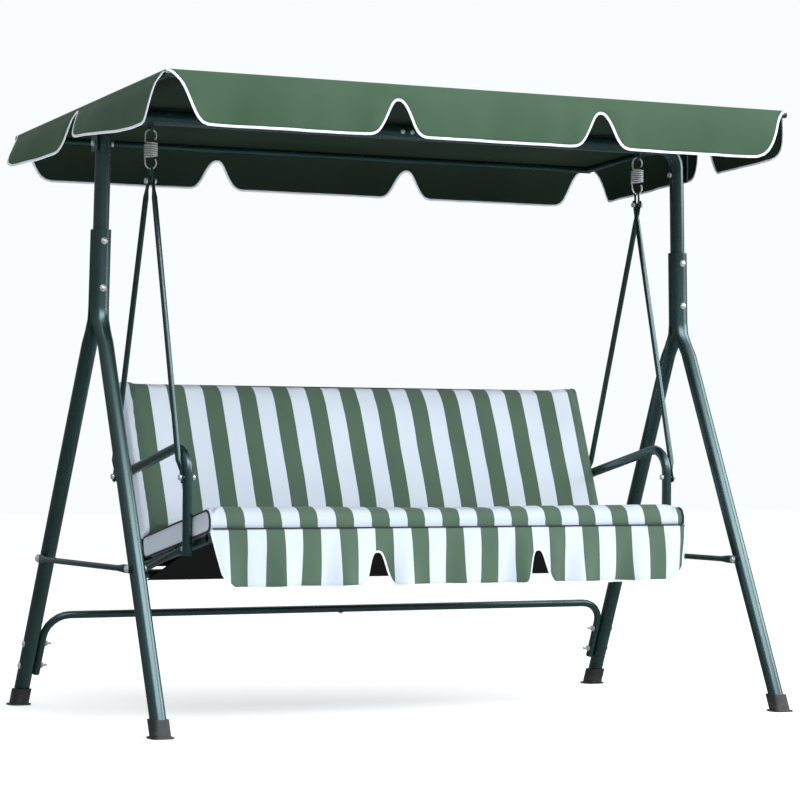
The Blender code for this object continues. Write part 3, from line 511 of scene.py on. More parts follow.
def add_piece(name, points, faces, material, body, uvs=None):
    """A named, welded mesh, moved from the post plane into the shared frame, riding on its body."""
    mesh = bpy.data.meshes.new(name)
    mesh.from_pydata([tuple(Vector(point) + PLANE) for point in points], [], faces)
    if uvs is not None:
        layer = mesh.uv_layers.new(name="UVMap")
        for loop, uv in zip(layer.data, uvs):
            loop.uv = uv
    work = bmesh.new()
    work.from_mesh(mesh)
    bmesh.ops.remove_doubles(work, verts=work.verts, dist=1e-6)
    bmesh.ops.recalc_face_normals(work, faces=work.faces)
    work.to_mesh(mesh)
    work.free()
    mesh.shade_smooth()
    piece = bpy.data.objects.new(name, mesh)
    mesh.materials.append(material)
    bpy.context.scene.collection.objects.link(piece)
    if body is not None:
        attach(piece, body)
    return piece


def ring_faces(rings, count, closed_ring=True, closed_path=False):
    """Quads between equal rings of points numbered ring by ring."""
    faces = []
    spans = rings if closed_path else rings - 1
    across = count if closed_ring else count - 1
    for i in range(spans):
        for k in range(across):
            a = i * count + k
            b = i * count + (k + 1) % count
            j = (i + 1) % rings
            faces.append((a, b, j * count + (k + 1) % count, j * count + k))
    return faces


def sweep(name, path, ups, half_up, half_side, material, body, closed=True, sides=10):
    """A tube of elliptical section along a path, its long half along ups."""
    count = len(path)
    points = []
    lengths = [0.0]
    for i in range(count):
        before = path[i - 1] if closed or i > 0 else path[0]
        after = path[(i + 1) % count] if closed or i < count - 1 else path[-1]
        tangent = (after - before).normalized()
        up = (ups[i] - tangent * ups[i].dot(tangent)).normalized()
        side = tangent.cross(up)
        for k in range(sides):
            angle = math.tau * k / sides
            points.append(path[i] + up * half_up * math.cos(angle) + side * half_side * math.sin(angle))
        lengths.append(lengths[-1] + (path[(i + 1) % count] - path[i]).length)
    faces = ring_faces(count, sides, True, closed)
    uvs = []
    for i in range(count if closed else count - 1):
        for k in range(sides):
            low, high = k / sides, (k + 1) / sides
            uvs += [(lengths[i], low), (lengths[i], high), (lengths[i + 1], high), (lengths[i + 1], low)]
    if not closed:
        faces.append(tuple(range(sides))[::-1])
        faces.append(tuple(range((count - 1) * sides, count * sides)))
        uvs += [(0, 0)] * sides + [(lengths[-2], 0)] * sides
    return add_piece(name, points, faces, material, body, uvs=uvs)


def apply_modifiers(piece):
    """Make what the modifiers show the piece's own mesh."""
    view = bpy.context.evaluated_depsgraph_get()
    mesh = bpy.data.meshes.new_from_object(piece.evaluated_get(view))
    piece.modifiers.clear()
    piece.data = mesh


def thicken(piece, thickness, inner_material=None):
    """Turn a sheet into cloth of a real thickness, kept centred on its surface."""
    solid = piece.modifiers.new("cloth", "SOLIDIFY")
    solid.thickness = thickness
    solid.offset = 0.0
    if inner_material is not None:
        piece.data.materials.append(inner_material)
        solid.material_offset = 1
    apply_modifiers(piece)
    piece.data.shade_smooth()


# Scalloped hems

def bell(reach, power=BELL_POWER):
    """Rise of a hem beside a notch, from 0 at its rounded tip to 1 where the notch has run out."""
    return 1 - math.exp(-(BELL_REACH * min(reach, 1)) ** power)


def hem_drop(place, length, notches, notch_half, full, notch_drop, corner_drop, power=BELL_POWER):
    """Depth of a scalloped hem below its edge, place being the distance along that edge."""
    drop = full
    for notch in notches:
        drop = min(drop, notch_drop + (full - notch_drop) * bell(abs(place - notch) / notch_half, power))
    end = max(min(place, length - place), 0)
    return min(drop, corner_drop + (full - corner_drop) * bell(end / CORNER_HALF))


def spaced(low, high, spots, coarse, fine, reach):
    """Places from low to high, coarse apart, and down to fine apart close to each spot."""
    places = [low]
    while places[-1] < high:
        here = places[-1]
        near = min(abs(here + fine - spot) for spot in spots) / reach
        places.append(here + fine + (coarse - fine) * smoothstep(near - 0.5))
    stretch = (high - low) / (places[-1] - low)
    return [low + (place - low) * stretch for place in places]


# Canopy

def canopy_z(y):
    share = (y - CANOPY_FRONT[0]) / (CANOPY_REAR[0] - CANOPY_FRONT[0])
    return CANOPY_FRONT[1] + share * (CANOPY_REAR[1] - CANOPY_FRONT[1])


def roof_point(x, y):
    """The roof sags a little between its bars, with faint pulls towards its corners."""
    half = CANOPY_HALF - EDGE_RADIUS
    across = 1 - (x / half) ** 2
    along = (y - CANOPY_FRONT[0] - EDGE_RADIUS) / (CANOPY_REAR[0] - CANOPY_FRONT[0] - 2 * EDGE_RADIUS)
    sag = ROOF_BOW * math.sin(math.pi * along) + ROOF_DIPS * math.sin(math.tau * along) ** 2
    pull = noise.noise(Vector((x * 5.0, y * 9.0, 1.7))) * 0.0022
    pull += noise.noise(Vector((x * 14.0, y * 3.0, 6.1))) * 0.0012
    edge = smoothstep(min(half - abs(x), (1 - along) * 0.94, along * 0.94) / ROOF_FIRM_EDGE)
    return Vector((x, y, canopy_z(y) - sag * across ** 0.5 * edge + (pull + ROOF_LIFT) * edge))


def valance_out(place, length, drop, share, notches, flare, seed):
    """How far the hanging cloth stands out from its edge: a rolled top, folds and a flared hem."""
    fall = drop * share
    rolled = min(fall / EDGE_RADIUS, 1)
    out = EDGE_RADIUS * math.sqrt(1 - (1 - rolled) ** 2)
    hang = smoothstep((fall - EDGE_RADIUS) / 0.05)
    depth = min(fall / FRONT_DROP, 1)
    waves = 0.0
    for height, wave, times in VALANCE_WAVES:
        waves += height * math.sin(math.tau * place / wave + times * seed)
    out += hang * depth * waves
    out += VALANCE_BULGE * math.sin(math.pi * depth) * smoothstep(fall / 0.03)
    out += flare * depth ** 2
    for spot in notches + [0.0, length]:
        away = abs(place - spot)
        out += NOTCH_LIP * depth ** 1.4 * math.exp(-((away - NOTCH_LIP_AWAY) / NOTCH_LIP_HALF) ** 2)
        out -= NOTCH_PUCKER * hang * math.exp(-(away / NOTCH_PUCKER_HALF) ** 2)
    return out


def left_drop(place, notch, length):
    """The left valance: a front panel that shortens towards its notch, and a shorter rear panel."""
    if place < notch:
        return LEFT_REAR_DROP
    share = (place - notch) / (length - notch)
    return LEFT_FRONT_DROP + (SIDE_DROP - LEFT_FRONT_DROP) * smoothstep(share / 0.8)


def left_wing(place, notch, length):
    """How much further the left valance stands out: at its rear corner and just ahead of its notch."""
    rear = LEFT_REAR_WING * smoothstep(1 - place / LEFT_REAR_WING_REACH)
    ahead = place - notch
    front = LEFT_NOTCH_WING * smoothstep(ahead / 0.02) * smoothstep(1 - ahead / LEFT_NOTCH_WING_REACH)
    return rear + front


def canopy_edges():
    """Each edge in turn: name, start, direction, outward way, notch drop, notch places, flare and seed."""
    left, right = ROOF_X
    front, rear = ROOF_Y
    front_notches = [x - left for x in FRONT_NOTCHES]
    rear_notches = [right - x for x in REAR_NOTCHES]
    edges = [
        ("front", (left, front), (1, 0), (0, -1), NOTCH_DROP, front_notches),
        ("right", (right, front), (0, 1), (1, 0), SIDE_NOTCH_DROP, [RIGHT_NOTCH_Y - front]),
        ("rear", (right, rear), (-1, 0), (0, 1), NOTCH_DROP, rear_notches),
        ("left", (left, rear), (0, -1), (-1, 0), SIDE_NOTCH_DROP, [rear - LEFT_NOTCH_Y]),
    ]
    return [(*edge, flare, seed) for edge, flare, seed in zip(edges, EDGE_FLARES, EDGE_SEEDS)]


def valance_hang(name, place, notch, length):
    """The full drop of a valance at one place, and how much further it stands out there."""
    if name == "front":
        return FRONT_DROP, RIGHT_CORNER_WING * smoothstep(1 - (length - place) / FRONT_WING_REACH)
    if name == "right":
        return SIDE_DROP, RIGHT_CORNER_WING * smoothstep(1 - place / RIGHT_WING_REACH)
    if name == "rear":
        return REAR_DROP, 0.0
    return left_drop(place, notch, length), left_wing(place, notch, length)


def hang_valance(edge, places):
    """Points of one valance, from its edge down to its hem at each place, each list a place."""
    name, start, run, outward, notch_drop, notches, flare, seed = edge
    start, run, outward = Vector((*start, 0)), Vector((*run, 0)), Vector((*outward, 0))
    length = places[-1]
    falls = []
    for place in places:
        full, wing = valance_hang(name, place, notches[0], length)
        drop = hem_drop(place, length, notches, NOTCH_HALF, full, notch_drop, CORNER_DROP)
        turn = 1 - smoothstep(min(place, length - place) / CORNER_TURN)
        lean = run * (-1 if place < length / 2 else 1)
        way = (outward + lean * turn).normalized()
        spot = start + run * place
        top = roof_point(spot.x, spot.y)
        fall = []
        for row in range(VALANCE_ROWS + 1):
            share = (row / VALANCE_ROWS) ** 1.6
            out = valance_out(place, length, drop, share, notches, flare, seed)
            out += wing * (drop * share / full) ** 1.4
            fall.append(top + way * out - Z_AXIS * drop * share)
        falls.append(fall)
    return falls


def bind_hem(hem, ups, material):
    """Fold a binding tape over the hem all round the cover, leaving out points that repeat."""
    path = []
    kept = []
    for point, up in zip(hem, ups):
        if not path or (point - path[-1]).length > 0.0015:
            path.append(point)
            kept.append(up)
    while (path[0] - path[-1]).length < 0.0015:
        path.pop()
        kept.pop()
    path = [point + up * BINDING_HALF * 0.6 for point, up in zip(path, kept)]
    return sweep("canopy_binding", path, kept, BINDING_HALF, BINDING_THICK, material, "canopy")


def make_canopy(materials):
    """One continuous sheet: a flat roof that rolls over its bars into four scalloped valances."""
    columns = spaced(*ROOF_X, [*ROOF_X, *FRONT_NOTCHES, *REAR_NOTCHES], *ROOF_SPACING)
    rows = spaced(*ROOF_Y, [*ROOF_Y, LEFT_NOTCH_Y, RIGHT_NOTCH_Y], *ROOF_SPACING)
    points = []
    for y in rows:
        points += [roof_point(x, y) for x in columns]
    faces = ring_faces(len(rows), len(columns), closed_ring=False)
    hem = []
    ups = []
    for number, edge in enumerate(canopy_edges()):
        ticks = columns if number % 2 == 0 else rows
        places = [tick - ticks[0] for tick in ticks]
        if number >= 2:
            places = [ticks[-1] - tick for tick in ticks[::-1]]
        base = len(points)
        for fall in hang_valance(edge, places):
            points += fall
            hem.append(fall[-1])
            ups.append((fall[-2] - fall[-1]).normalized())
        for face in ring_faces(len(places), VALANCE_ROWS + 1, closed_ring=False):
            faces.append(tuple(base + corner for corner in face))
    cover = add_piece("canopy_sheet", points, faces, materials["canopy"], "canopy")
    # The inner face of the cloth takes the darker green: painted shade under the roof
    thicken(cover, CANOPY_CLOTH, materials["canopy_inside_shaded"])
    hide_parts("canopy_cover")
    binding = bind_hem(hem, ups, materials["binding"])


# Cushions

def rounded_outline(length, thick, radii):
    """Lower and upper lines of a long section from its front tip to its rear tip, rounded at both ends."""
    front, rear = radii
    places = spaced(0.0, length, [0.0, length], *PAD_SECTION_SPACING)
    lower = []
    upper = []
    for u in places:
        half = thick / 2
        if u < front:
            half *= math.sqrt(max(1 - (1 - u / front) ** 2, 0)) ** 0.8
        elif u > length - rear:
            half *= math.sqrt(max(1 - (1 - (length - u) / rear) ** 2, 0)) ** 0.8
        lower.append((u, thick / 2 - half))
        upper.append((u, thick / 2 + half))
    return lower, upper


class CushionForm:
    """A long pad: sections (u along its depth, w through it) placed along X."""

    def __init__(self, origin, along, out, length, thick, radii, crown, fade, seed):
        self.origin = Vector((0, *origin))
        self.along = Vector((0, *along)).normalized()
        self.out = Vector((0, *out)).normalized()
        self.length = length
        self.thick = thick
        self.crown = crown
        self.fade = fade
        self.seed = seed
        self.lower, self.upper = rounded_outline(length, thick, radii)

    def place(self, x, u, w):
        """Crown the top face, and pull the long edges in between the corners."""
        a = min(max(u / self.length, 0), 1)
        b = (x + CUSHION_HALF) / (2 * CUSHION_HALF)
        lift = max(w / self.thick, 0)
        dome = (1 - abs(2 * a - 1) ** 5) * (1 - self.fade * a) * (1 - abs(2 * b - 1) ** 30)
        w = w + self.crown * lift * dome
        w += lift * PAD_LUMPS * noise.noise(Vector((x * 9, u * 11, self.seed))) * dome
        inward = PAD_PULL * math.sin(math.pi * b) * (1 - 2 * a)
        inward += PAD_EDGE_WAVES * noise.noise(Vector((x * 16, self.seed, 2.2))) * (1 - 2 * a)
        return self.origin + X_AXIS * x + self.along * (u + inward) + self.out * w

    def loop(self, x, size=1.0):
        """Points round one section, shrunk towards its middle line by size."""
        middle = self.thick / 2
        points = []
        for u, w in self.upper + self.lower[-2:0:-1]:
            inset = (1 - size) * self.thick / 2
            near = min(max(u, inset), self.length - inset)
            points.append(self.place(x, near, middle + (w - middle) * size))
        return points


def make_cushion(name, form, material, node):
    """Loft a pad from its left end panel to its right one, then fill it."""
    start = -CUSHION_HALF
    stations = [(start - PAD_BULGE * share, size) for share, size in PAD_END_SIZES]
    stations.append((start + PAD_END_STEPS[0], 1.0))
    first = start + PAD_END_STEPS[1]
    inner = spaced(first, -first, [start, -start], *PAD_SPACING)
    stations = stations + [(x, 1.0) for x in inner] + [(-x, size) for x, size in stations[::-1]]
    points = []
    for x, size in stations:
        points += form.loop(x, size)
    count = len(form.upper) + len(form.lower) - 2
    faces = ring_faces(len(stations), count)
    last = len(points) - count
    faces.append(tuple(range(count)))
    faces.append(tuple(range(last, last + count)))
    pad = add_piece(name, points, faces, material, "seat")
    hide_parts(node)
    inflate(pad, form)
    return pad


def sew_piping(pad, form, material):
    """A piping sewn round each end panel of a pad."""
    for side in SIDES:
        rim = form.loop(side * (CUSHION_HALF - PIPING_INSET), 1.0)
        centre = sum(rim, Vector()) / len(rim)
        outward = [(point - centre).normalized() for point in rim]
        path = [point + way * PIPING_RADIUS * PIPING_PROUD for point, way in zip(rim, outward)]
        trim = sweep(pad.name + "_piping_" + SIDE_NAMES[side], path, outward, PIPING_RADIUS, PIPING_RADIUS,
                     material, "seat", sides=8)
        trim.parent = pad


def inflate(pad, form):
    """Fill a pad with air as cloth, held along its end seams and underneath."""
    sewn = pad.vertex_groups.new(name="sewn")
    for vertex in pad.data.vertices:
        height = (vertex.co - PLANE - form.origin).dot(form.out)
        if abs(vertex.co.x) > CUSHION_HALF - SEWN_END or height < SEWN_UNDERSIDE:
            sewn.add([vertex.index], 1.0, "REPLACE")
    cloth = pad.modifiers.new("inflate", "CLOTH")
    settings = cloth.settings
    settings.quality = 6
    settings.mass = 0.2
    settings.tension_stiffness = 20
    settings.compression_stiffness = 12
    settings.bending_stiffness = 0.8
    settings.use_pressure = True
    settings.uniform_pressure_force = PAD_PRESSURE
    settings.vertex_group_mass = sewn.name
    settings.shrink_min = -PAD_SLACK
    settings.effector_weights.gravity = 0
    cloth.point_cache.frame_start = 1
    cloth.point_cache.frame_end = CLOTH_FRAMES
    for number in range(1, CLOTH_FRAMES + 1):
        bpy.context.scene.frame_set(number)
    swollen = bpy.data.meshes.new_from_object(pad.evaluated_get(bpy.context.evaluated_depsgraph_get()))
    moves = [after.co - before.co for before, after in zip(pad.data.vertices, swollen.vertices)]
    pad.modifiers.remove(cloth)
    for vertex, move in zip(pad.data.vertices, moves):
        vertex.co += move * min(1, PAD_SWELL / max(move.length, 1e-6))
    pad.vertex_groups.clear()
    bpy.data.meshes.remove(swollen)
    bpy.context.scene.frame_set(1)


def make_front_seam(material):
    """The thin dark cord sewn between the seat cushion's nose and its flap."""
    path = []
    for i in range(-SEAM_STEPS, SEAM_STEPS + 1):
        x = SEAM_STEP * i
        y = FLAP_TOP[0] - SEAM_PROUD - SEAM_WAVES * noise.noise(Vector((x * 14, 1.3, 0)))
        path.append(Vector((x, y, SEAM_Z)))
    sweep("seat_pad_piping_front", path, [Z_AXIS] * len(path), SEAM_HALF, SEAM_THICK, material,
          "seat", closed=False, sides=8)


def seat_form():
    slope = Vector((1, SEAT_SLOPE)).normalized()
    z = SEAT_REFERENCE[1] + SEAT_SLOPE * (SEAT_FRONT_Y - SEAT_REFERENCE[0]) + SEAT_PAD_LIFT
    return CushionForm((SEAT_FRONT_Y, z), slope, (-slope.y, slope.x), SEAT_LENGTH, SEAT_THICK,
                       SEAT_TIP_RADII, SEAT_CROWN, SEAT_CROWN_FADE, 3.0)


def back_form():
    slope = Vector((BACK_SLOPE, 1)).normalized()
    lift = BACK_SLOPE / (1 + BACK_SLOPE ** 2) * BACK_THICK
    low_z = BACK_LOW_Z - lift
    offset = RAIL_RADIUS + BACK_PAD_GAP
    y = BACK_REFERENCE[0] + BACK_SLOPE * (low_z - BACK_REFERENCE[1]) - offset * math.hypot(1, BACK_SLOPE)
    return CushionForm((y, low_z), slope, (-slope.y, slope.x), BACK_LENGTH, BACK_THICK,
                       BACK_TIP_RADII, BACK_CROWN, 0.0, 8.0)


def flap_drop(place, length, notches):
    """Depth of the flap's hem, whose outer corners are rounded."""
    full = FLAP_DROP - FLAP_HEM_WAVES * abs(noise.noise(Vector((place * 8, 0.3, 7.7))))
    drop = hem_drop(place, length, notches, FLAP_NOTCH_HALF, full, FLAP_NOTCH_DROP, full, FLAP_NOTCH_POWER)
    end = max(min(place, length - place, FLAP_CORNER), 0) / FLAP_CORNER
    return min(drop, FLAP_DROP - FLAP_CORNER * (1 - math.sin(end * math.pi / 2) ** 0.7))


def flap_point(place, fall, length, notches):
    """A point of the flap, place along its top edge and fall below it: folded and pulled sideways."""
    depth = fall / FLAP_DROP
    puff = FLAP_PUFF * math.sin(math.pi * min(fall / FLAP_PUFF_DEPTH, 1) / 2)
    folds = 0.0
    for height, wave, start, slant in FLAP_FOLDS:
        folds += height * math.sin(math.tau * place / wave + start + slant * fall)
    folds += FLAP_RUMPLE * noise.noise(Vector((place * 9, fall * 7, 4.4)))
    for spot in notches + [0.0, length]:
        folds += FLAP_LIP * math.exp(-((abs(place - spot) - FLAP_LIP_AWAY) / FLAP_LIP_HALF) ** 2)
    y = FLAP_TOP[0] - puff - FLAP_LEAN * depth - folds * depth ** 1.2
    pull = FLAP_PULL * depth ** 1.2 * math.exp(-place / FLAP_PULL_REACH)
    right_pull = FLAP_RIGHT_PULL * depth * math.exp(-(length - place) / FLAP_RIGHT_REACH)
    return Vector((place - CUSHION_HALF + (pull - right_pull), y, FLAP_TOP[1] - fall))


def make_flap(materials):
    """The scalloped flap sewn under the front of the seat cushion, bound along its hem and its ends."""
    length = 2 * CUSHION_HALF
    notches = [CUSHION_HALF + x for x in FLAP_NOTCHES]
    places = spaced(0.0, length, [0.0, length, *notches], *FLAP_SPACING)
    points = []
    hem = []
    ups = []
    for place in places:
        drop = flap_drop(place, length, notches)
        for row in range(FLAP_ROWS + 1):
            points.append(flap_point(place, drop * (row / FLAP_ROWS) ** 1.2, length, notches))
        hem.append(points[-1])
        ups.append((points[-2] - points[-1]).normalized())
    faces = ring_faces(len(places), FLAP_ROWS + 1, closed_ring=False)
    flap = add_piece("seat_flap_cloth", points, faces, materials["seat_stripes"], "seat")
    thicken(flap, FLAP_CLOTH)
    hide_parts("seat_flap")
    path = [point + up * BINDING_HALF * 0.4 for point, up in zip(hem, ups)]
    left = [points[row] for row in range(1, FLAP_ROWS, 2)]
    right_base = (len(places) - 1) * (FLAP_ROWS + 1)
    right = [points[right_base + row] for row in range(FLAP_ROWS - 1, 0, -2)]
    sideways = [X_AXIS] * len(left) + ups + [-X_AXIS] * len(right)
    binding = sweep("seat_flap_binding", left + path + right, sideways, FLAP_BINDING_HALF,
                    FLAP_BINDING_THICK, materials["binding"], "seat", closed=False)


def make_sling(name, node, start, end, half, sag, materials, bars):
    """A flat black panel from a low line to a high one, sagging away from the sitter between its bars."""
    start, end = Vector((0, *start)), Vector((0, *end))
    back = (end - start).cross(X_AXIS).normalized()
    places = spaced(-half, half, [-half, half], 0.030, 0.006, 0.05)
    steps = 24
    points = []
    for x in places:
        slack = 1 - (x / half) ** 8
        for k in range(steps + 1):
            share = k / steps
            wrinkle = 0.0008 * noise.noise(Vector((x * 22, share * 3, half)))
            dip = (sag + wrinkle) * slack * math.sin(math.pi * share)
            points.append(start.lerp(end, share) + X_AXIS * x + back * dip)
    faces = ring_faces(len(places), steps + 1, closed_ring=False)
    panel = add_piece(name, points, faces, materials["sling"], "seat")
    thicken(panel, SLING_CLOTH)
    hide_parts(node)


def make_slings(materials):
    lift = Vector((-SEAT_SLOPE, 1)).normalized() * SLING_CLOTH
    front = Vector(SEAT_SLING_FRONT) + lift
    rear = Vector(SEAT_SLING_REAR) + lift
    make_sling("seat_sling_panel", "seat_sling", rear, front, SEAT_SLING_HALF, SEAT_SLING_SAG, materials,
               ["seat_front_bar", "seat_rear_bar"])
    offset = (RAIL_RADIUS + BAR_GAP + SLING_CLOTH / 2) * math.hypot(1, BACK_SLOPE)
    ends = []
    for z in (BACK_SLING_LOW_Z, BACK_SLING_HIGH_Z):
        ends.append((BACK_REFERENCE[0] + BACK_SLOPE * (z - BACK_REFERENCE[1]) - offset, z))
    make_sling("back_sling_panel", "back_sling", *ends, BACK_SLING_HALF, BACK_SLING_SAG, materials,
               ["back_top_bar", "back_upright_left", "back_upright_right"])


# Springs

def make_spring(side, materials):
    """An extension spring as one smooth wire: upper hook, close coil, lower hook."""
    x = side * HANG_X
    upper = EYE_BOTTOM_Z + EYE_WIRE + SPRING_WIRE + LOOP_CLEARANCE - SPRING_LOOP
    lower = LOWER_LOOP_Z + SPRING_LOOP
    path = []
    for i in range(LOOP_STEPS + 1):
        angle = math.radians(180 - LOOP_TURN + LOOP_TURN * i / LOOP_STEPS)
        path.append(Vector((x + SPRING_LOOP * math.cos(angle), 0, upper + SPRING_LOOP * math.sin(angle))))
    count = (SPRING_TURNS - 1) * TURN_STEPS
    for i in range(1, count):
        angle = math.pi + math.tau * i / TURN_STEPS
        height = COIL_TOP_Z + (COIL_BOTTOM_Z - COIL_TOP_Z) * i / count
        path.append(Vector((x + SPRING_RADIUS * math.cos(angle), SPRING_RADIUS * math.sin(angle), height)))
    for i in range(LOOP_STEPS + 1):
        angle = math.radians(180 + LOOP_TURN * i / LOOP_STEPS)
        path.append(Vector((x + SPRING_LOOP * math.cos(angle), 0, lower + SPRING_LOOP * math.sin(angle))))
    normal = Y_AXIS.copy()
    ups = []
    for i in range(len(path)):
        tangent = (path[min(i + 1, len(path) - 1)] - path[max(i - 1, 0)]).normalized()
        normal = (normal - tangent * normal.dot(tangent)).normalized()
        ups.append(normal.copy())
    wire = sweep("spring_wire_" + SIDE_NAMES[side], path, ups, SPRING_WIRE, SPRING_WIRE,
                 materials["zinc"], None, closed=False)
    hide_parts("spring_" + SIDE_NAMES[side])
    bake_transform(wire)


# Fixings

def turned(name, profile, centre, axis, material, body, sides=20, hexagon=()):
    """A turned fixing from (distance, radius) steps along an axis, six-sided at the steps in hexagon."""
    axis = Vector(axis).normalized()
    first = axis.orthogonal().normalized()
    second = axis.cross(first)
    points = []
    for index, (along, radius) in enumerate(profile):
        for k in range(sides):
            angle = math.tau * k / sides
            size = radius
            if index in hexagon:
                size = radius / math.cos((angle + math.pi / 6) % (math.pi / 3) - math.pi / 6)
            around = first * math.cos(angle) + second * math.sin(angle)
            points.append(Vector(centre) + axis * along + around * size)
    faces = ring_faces(len(profile), sides)
    faces.append(tuple(range(sides)))
    faces.append(tuple(range((len(profile) - 1) * sides, len(profile) * sides)))
    return add_piece(name, points, faces, material, body)


def sized(steps, radius):
    return [(along, radius * share) for along, share in steps]


def dome_bolt(name, place, axis, radius, material):
    """A round pan head standing on a washer."""
    turned(name, sized(DOME_STEPS, radius), place, axis, material, "frame")


def hex_bolt(name, place, axis, radius, material, body="frame"):
    """A six-sided head standing on a washer."""
    turned(name, sized(HEX_STEPS, radius), place, axis, material, body, sides=24, hexagon=HEX_FLATS)


def nut_and_thread(name, place, axis, radius, material):
    """A nut with the end of its threaded bolt standing out of it."""
    profile = sized(NUT_STEPS, radius)
    thread = radius * 0.52
    along = 0.0066
    while along < THREAD_REACH:
        profile += [(along, thread * 0.86), (along + THREAD_PITCH / 2, thread)]
        along += THREAD_PITCH
    profile.append((THREAD_REACH, thread * 0.5))
    turned(name, profile, place, axis, material, "frame", sides=24, hexagon=HEX_FLATS)


def leg_place(side, foot_y, z):
    """The middle line of a leg at a height."""
    return Vector((side * (FOOT_X - LEAN * z), foot_y * (1 - z / LEG_MEET_Z), z))


def make_leg_fixings(side, foot_y, way, zinc):
    """The sleeve's bolts over one leg, and the bolt that holds the side brace to it."""
    place_name = ("front_" if way < 0 else "rear_") + SIDE_NAMES[side]
    for number, z in enumerate(SLEEVE_BOLTS_Z):
        place = Vector((side * (FOOT_X - LEAN * z), way * (SHELL_RADIUS - ROUND_SINK), z))
        dome_bolt(f"sleeve_bolt_{place_name}_{number}", place, (0, way, 0), BRACE_BOLT, zinc)
    leg = leg_place(side, foot_y, BRACE_Z)
    face = leg - X_AXIS * (LEG_RADIUS + BRACE_DEPTH)
    hex_bolt(f"brace_bolt_{place_name}", face - X_AXIS * FLAT_SINK, (-1, 0, 0), BRACE_BOLT, zinc)
    head = leg + X_AXIS * (LEG_RADIUS - LEG_SINK)
    dome_bolt(f"brace_bolt_head_{place_name}", head, (1, 0, 0), BASE_BOLT, zinc)


def make_base_fixings(side, zinc):
    """The bolts through a rear leg and the flattened end of the base bar, with their nuts inside."""
    for number, z in enumerate(BASE_BOLTS_Z):
        leg = leg_place(side, REAR_FOOT_Y, z)
        inner = leg - X_AXIS * side * (LEG_RADIUS + 2 * BASE_BAR_RADIUS) + X_AXIS * side * ROUND_SINK
        outer = leg + X_AXIS * side * (LEG_RADIUS - LEG_SINK)
        label = f"{SIDE_NAMES[side]}_{number}"
        nut_and_thread(f"base_nut_{label}", inner, (-side, 0, 0), BASE_BOLT, zinc)
        dome_bolt(f"base_bolt_{label}", outer, (side, 0, 0), BASE_BOLT, zinc)


def make_fixings(materials):
    """The bolts and nuts of the A-frame, and the screws of the crossbar and the base bar."""
    zinc = materials["zinc"]
    for side in SIDES:
        make_leg_fixings(side, FRONT_FOOT_Y, -1, zinc)
        make_leg_fixings(side, REAR_FOOT_Y, 1, zinc)
        make_base_fixings(side, zinc)
        strut = Vector((side * (RAIL_X + RAIL_RADIUS + STRUT_DEPTH), *STRUT_FRONT))
        hex_bolt(f"strut_bolt_{SIDE_NAMES[side]}", strut, (side, 0, 0), STRUT_BOLT, zinc, "seat")
    for number, x in enumerate(CROSSBAR_SCREWS_X):
        place = (x, -LEG_RADIUS + ROUND_SINK, CROSSBAR_Z)
        dome_bolt(f"crossbar_screw_{number}", place, (0, -1, 0), CROSSBAR_SCREW, zinc)
    low = (BASE_SCREW_X, leg_place(1, REAR_FOOT_Y, BASE_BAR_Z).y, BASE_BAR_Z - BASE_BAR_RADIUS + ROUND_SINK)
    dome_bolt("base_bar_screw", low, (0, 0, -1), BASE_SCREW, zinc)


# Stage

def make_stage():
    """A pale floor, faintly luminous, that the paint and the zinc do not mirror."""
    mesh = bpy.data.meshes.new("floor")
    corners = [(-FLOOR_REACH, -FLOOR_DEPTH, 0), (FLOOR_REACH, -FLOOR_DEPTH, 0),
               (FLOOR_REACH, FLOOR_DEPTH, 0), (-FLOOR_REACH, FLOOR_DEPTH, 0)]
    mesh.from_pydata(corners, [], [(0, 1, 2, 3)])
    floor = bpy.data.objects.new("floor", mesh)
    bpy.context.scene.collection.objects.link(floor)
    n = Nodes("floor")
    tone = n.ramp(n.noise(1.5, 3.0), 0, 1)
    n.set(base_color=n.mix(tone, *FLOOR_TONES), roughness=0.8)
    n.set(emission_color=(1.0, 1.0, 1.0, 1.0), emission_strength=FLOOR_GLOW)
    mesh.materials.append(n.material)
    floor.visible_glossy = False


def add_light(name, place, aim, size, power, mirrored):
    """A soft box aimed at a point, and left out of reflections unless it is mirrored."""
    light = bpy.data.lights.new(name, "AREA")
    light.shape = "RECTANGLE"
    light.size, light.size_y = size
    light.energy = power
    light.color = LIGHT_COLOUR
    lamp = bpy.data.objects.new(name, light)
    lamp.location = place
    lamp.rotation_euler = (Vector(aim) - Vector(place)).to_track_quat("-Z", "Y").to_euler()
    lamp.visible_glossy = mirrored
    bpy.context.scene.collection.objects.link(lamp)


def make_world():
    """A surround that the camera sees white, and that gives little light from the left and below."""
    world = bpy.data.worlds.new("studio")
    world.use_nodes = True
    nodes = world.node_tree.nodes
    link = world.node_tree.links.new
    back = nodes["Background"]
    back.inputs["Color"].default_value = WORLD_COLOUR
    split = nodes.new("ShaderNodeSeparateXYZ")
    link(nodes.new("ShaderNodeTexCoord").outputs["Generated"], split.inputs[0])
    shades = []
    for axis, *limits in WORLD_SHADES:
        shade = nodes.new("ShaderNodeMapRange")
        set_range(shade, *limits)
        link(split.outputs[axis], shade.inputs["Value"])
        shades.append(shade.outputs[0])
    dim = nodes.new("ShaderNodeMath")
    dim.operation = "MULTIPLY"
    link(shades[0], dim.inputs[0])
    link(shades[1], dim.inputs[1])
    strength = nodes.new("ShaderNodeMapRange")
    link(nodes.new("ShaderNodeLightPath").outputs["Is Camera Ray"], strength.inputs["Value"])
    link(dim.outputs[0], strength.inputs["To Min"])
    link(strength.outputs[0], back.inputs["Strength"])
    bpy.context.scene.world = world


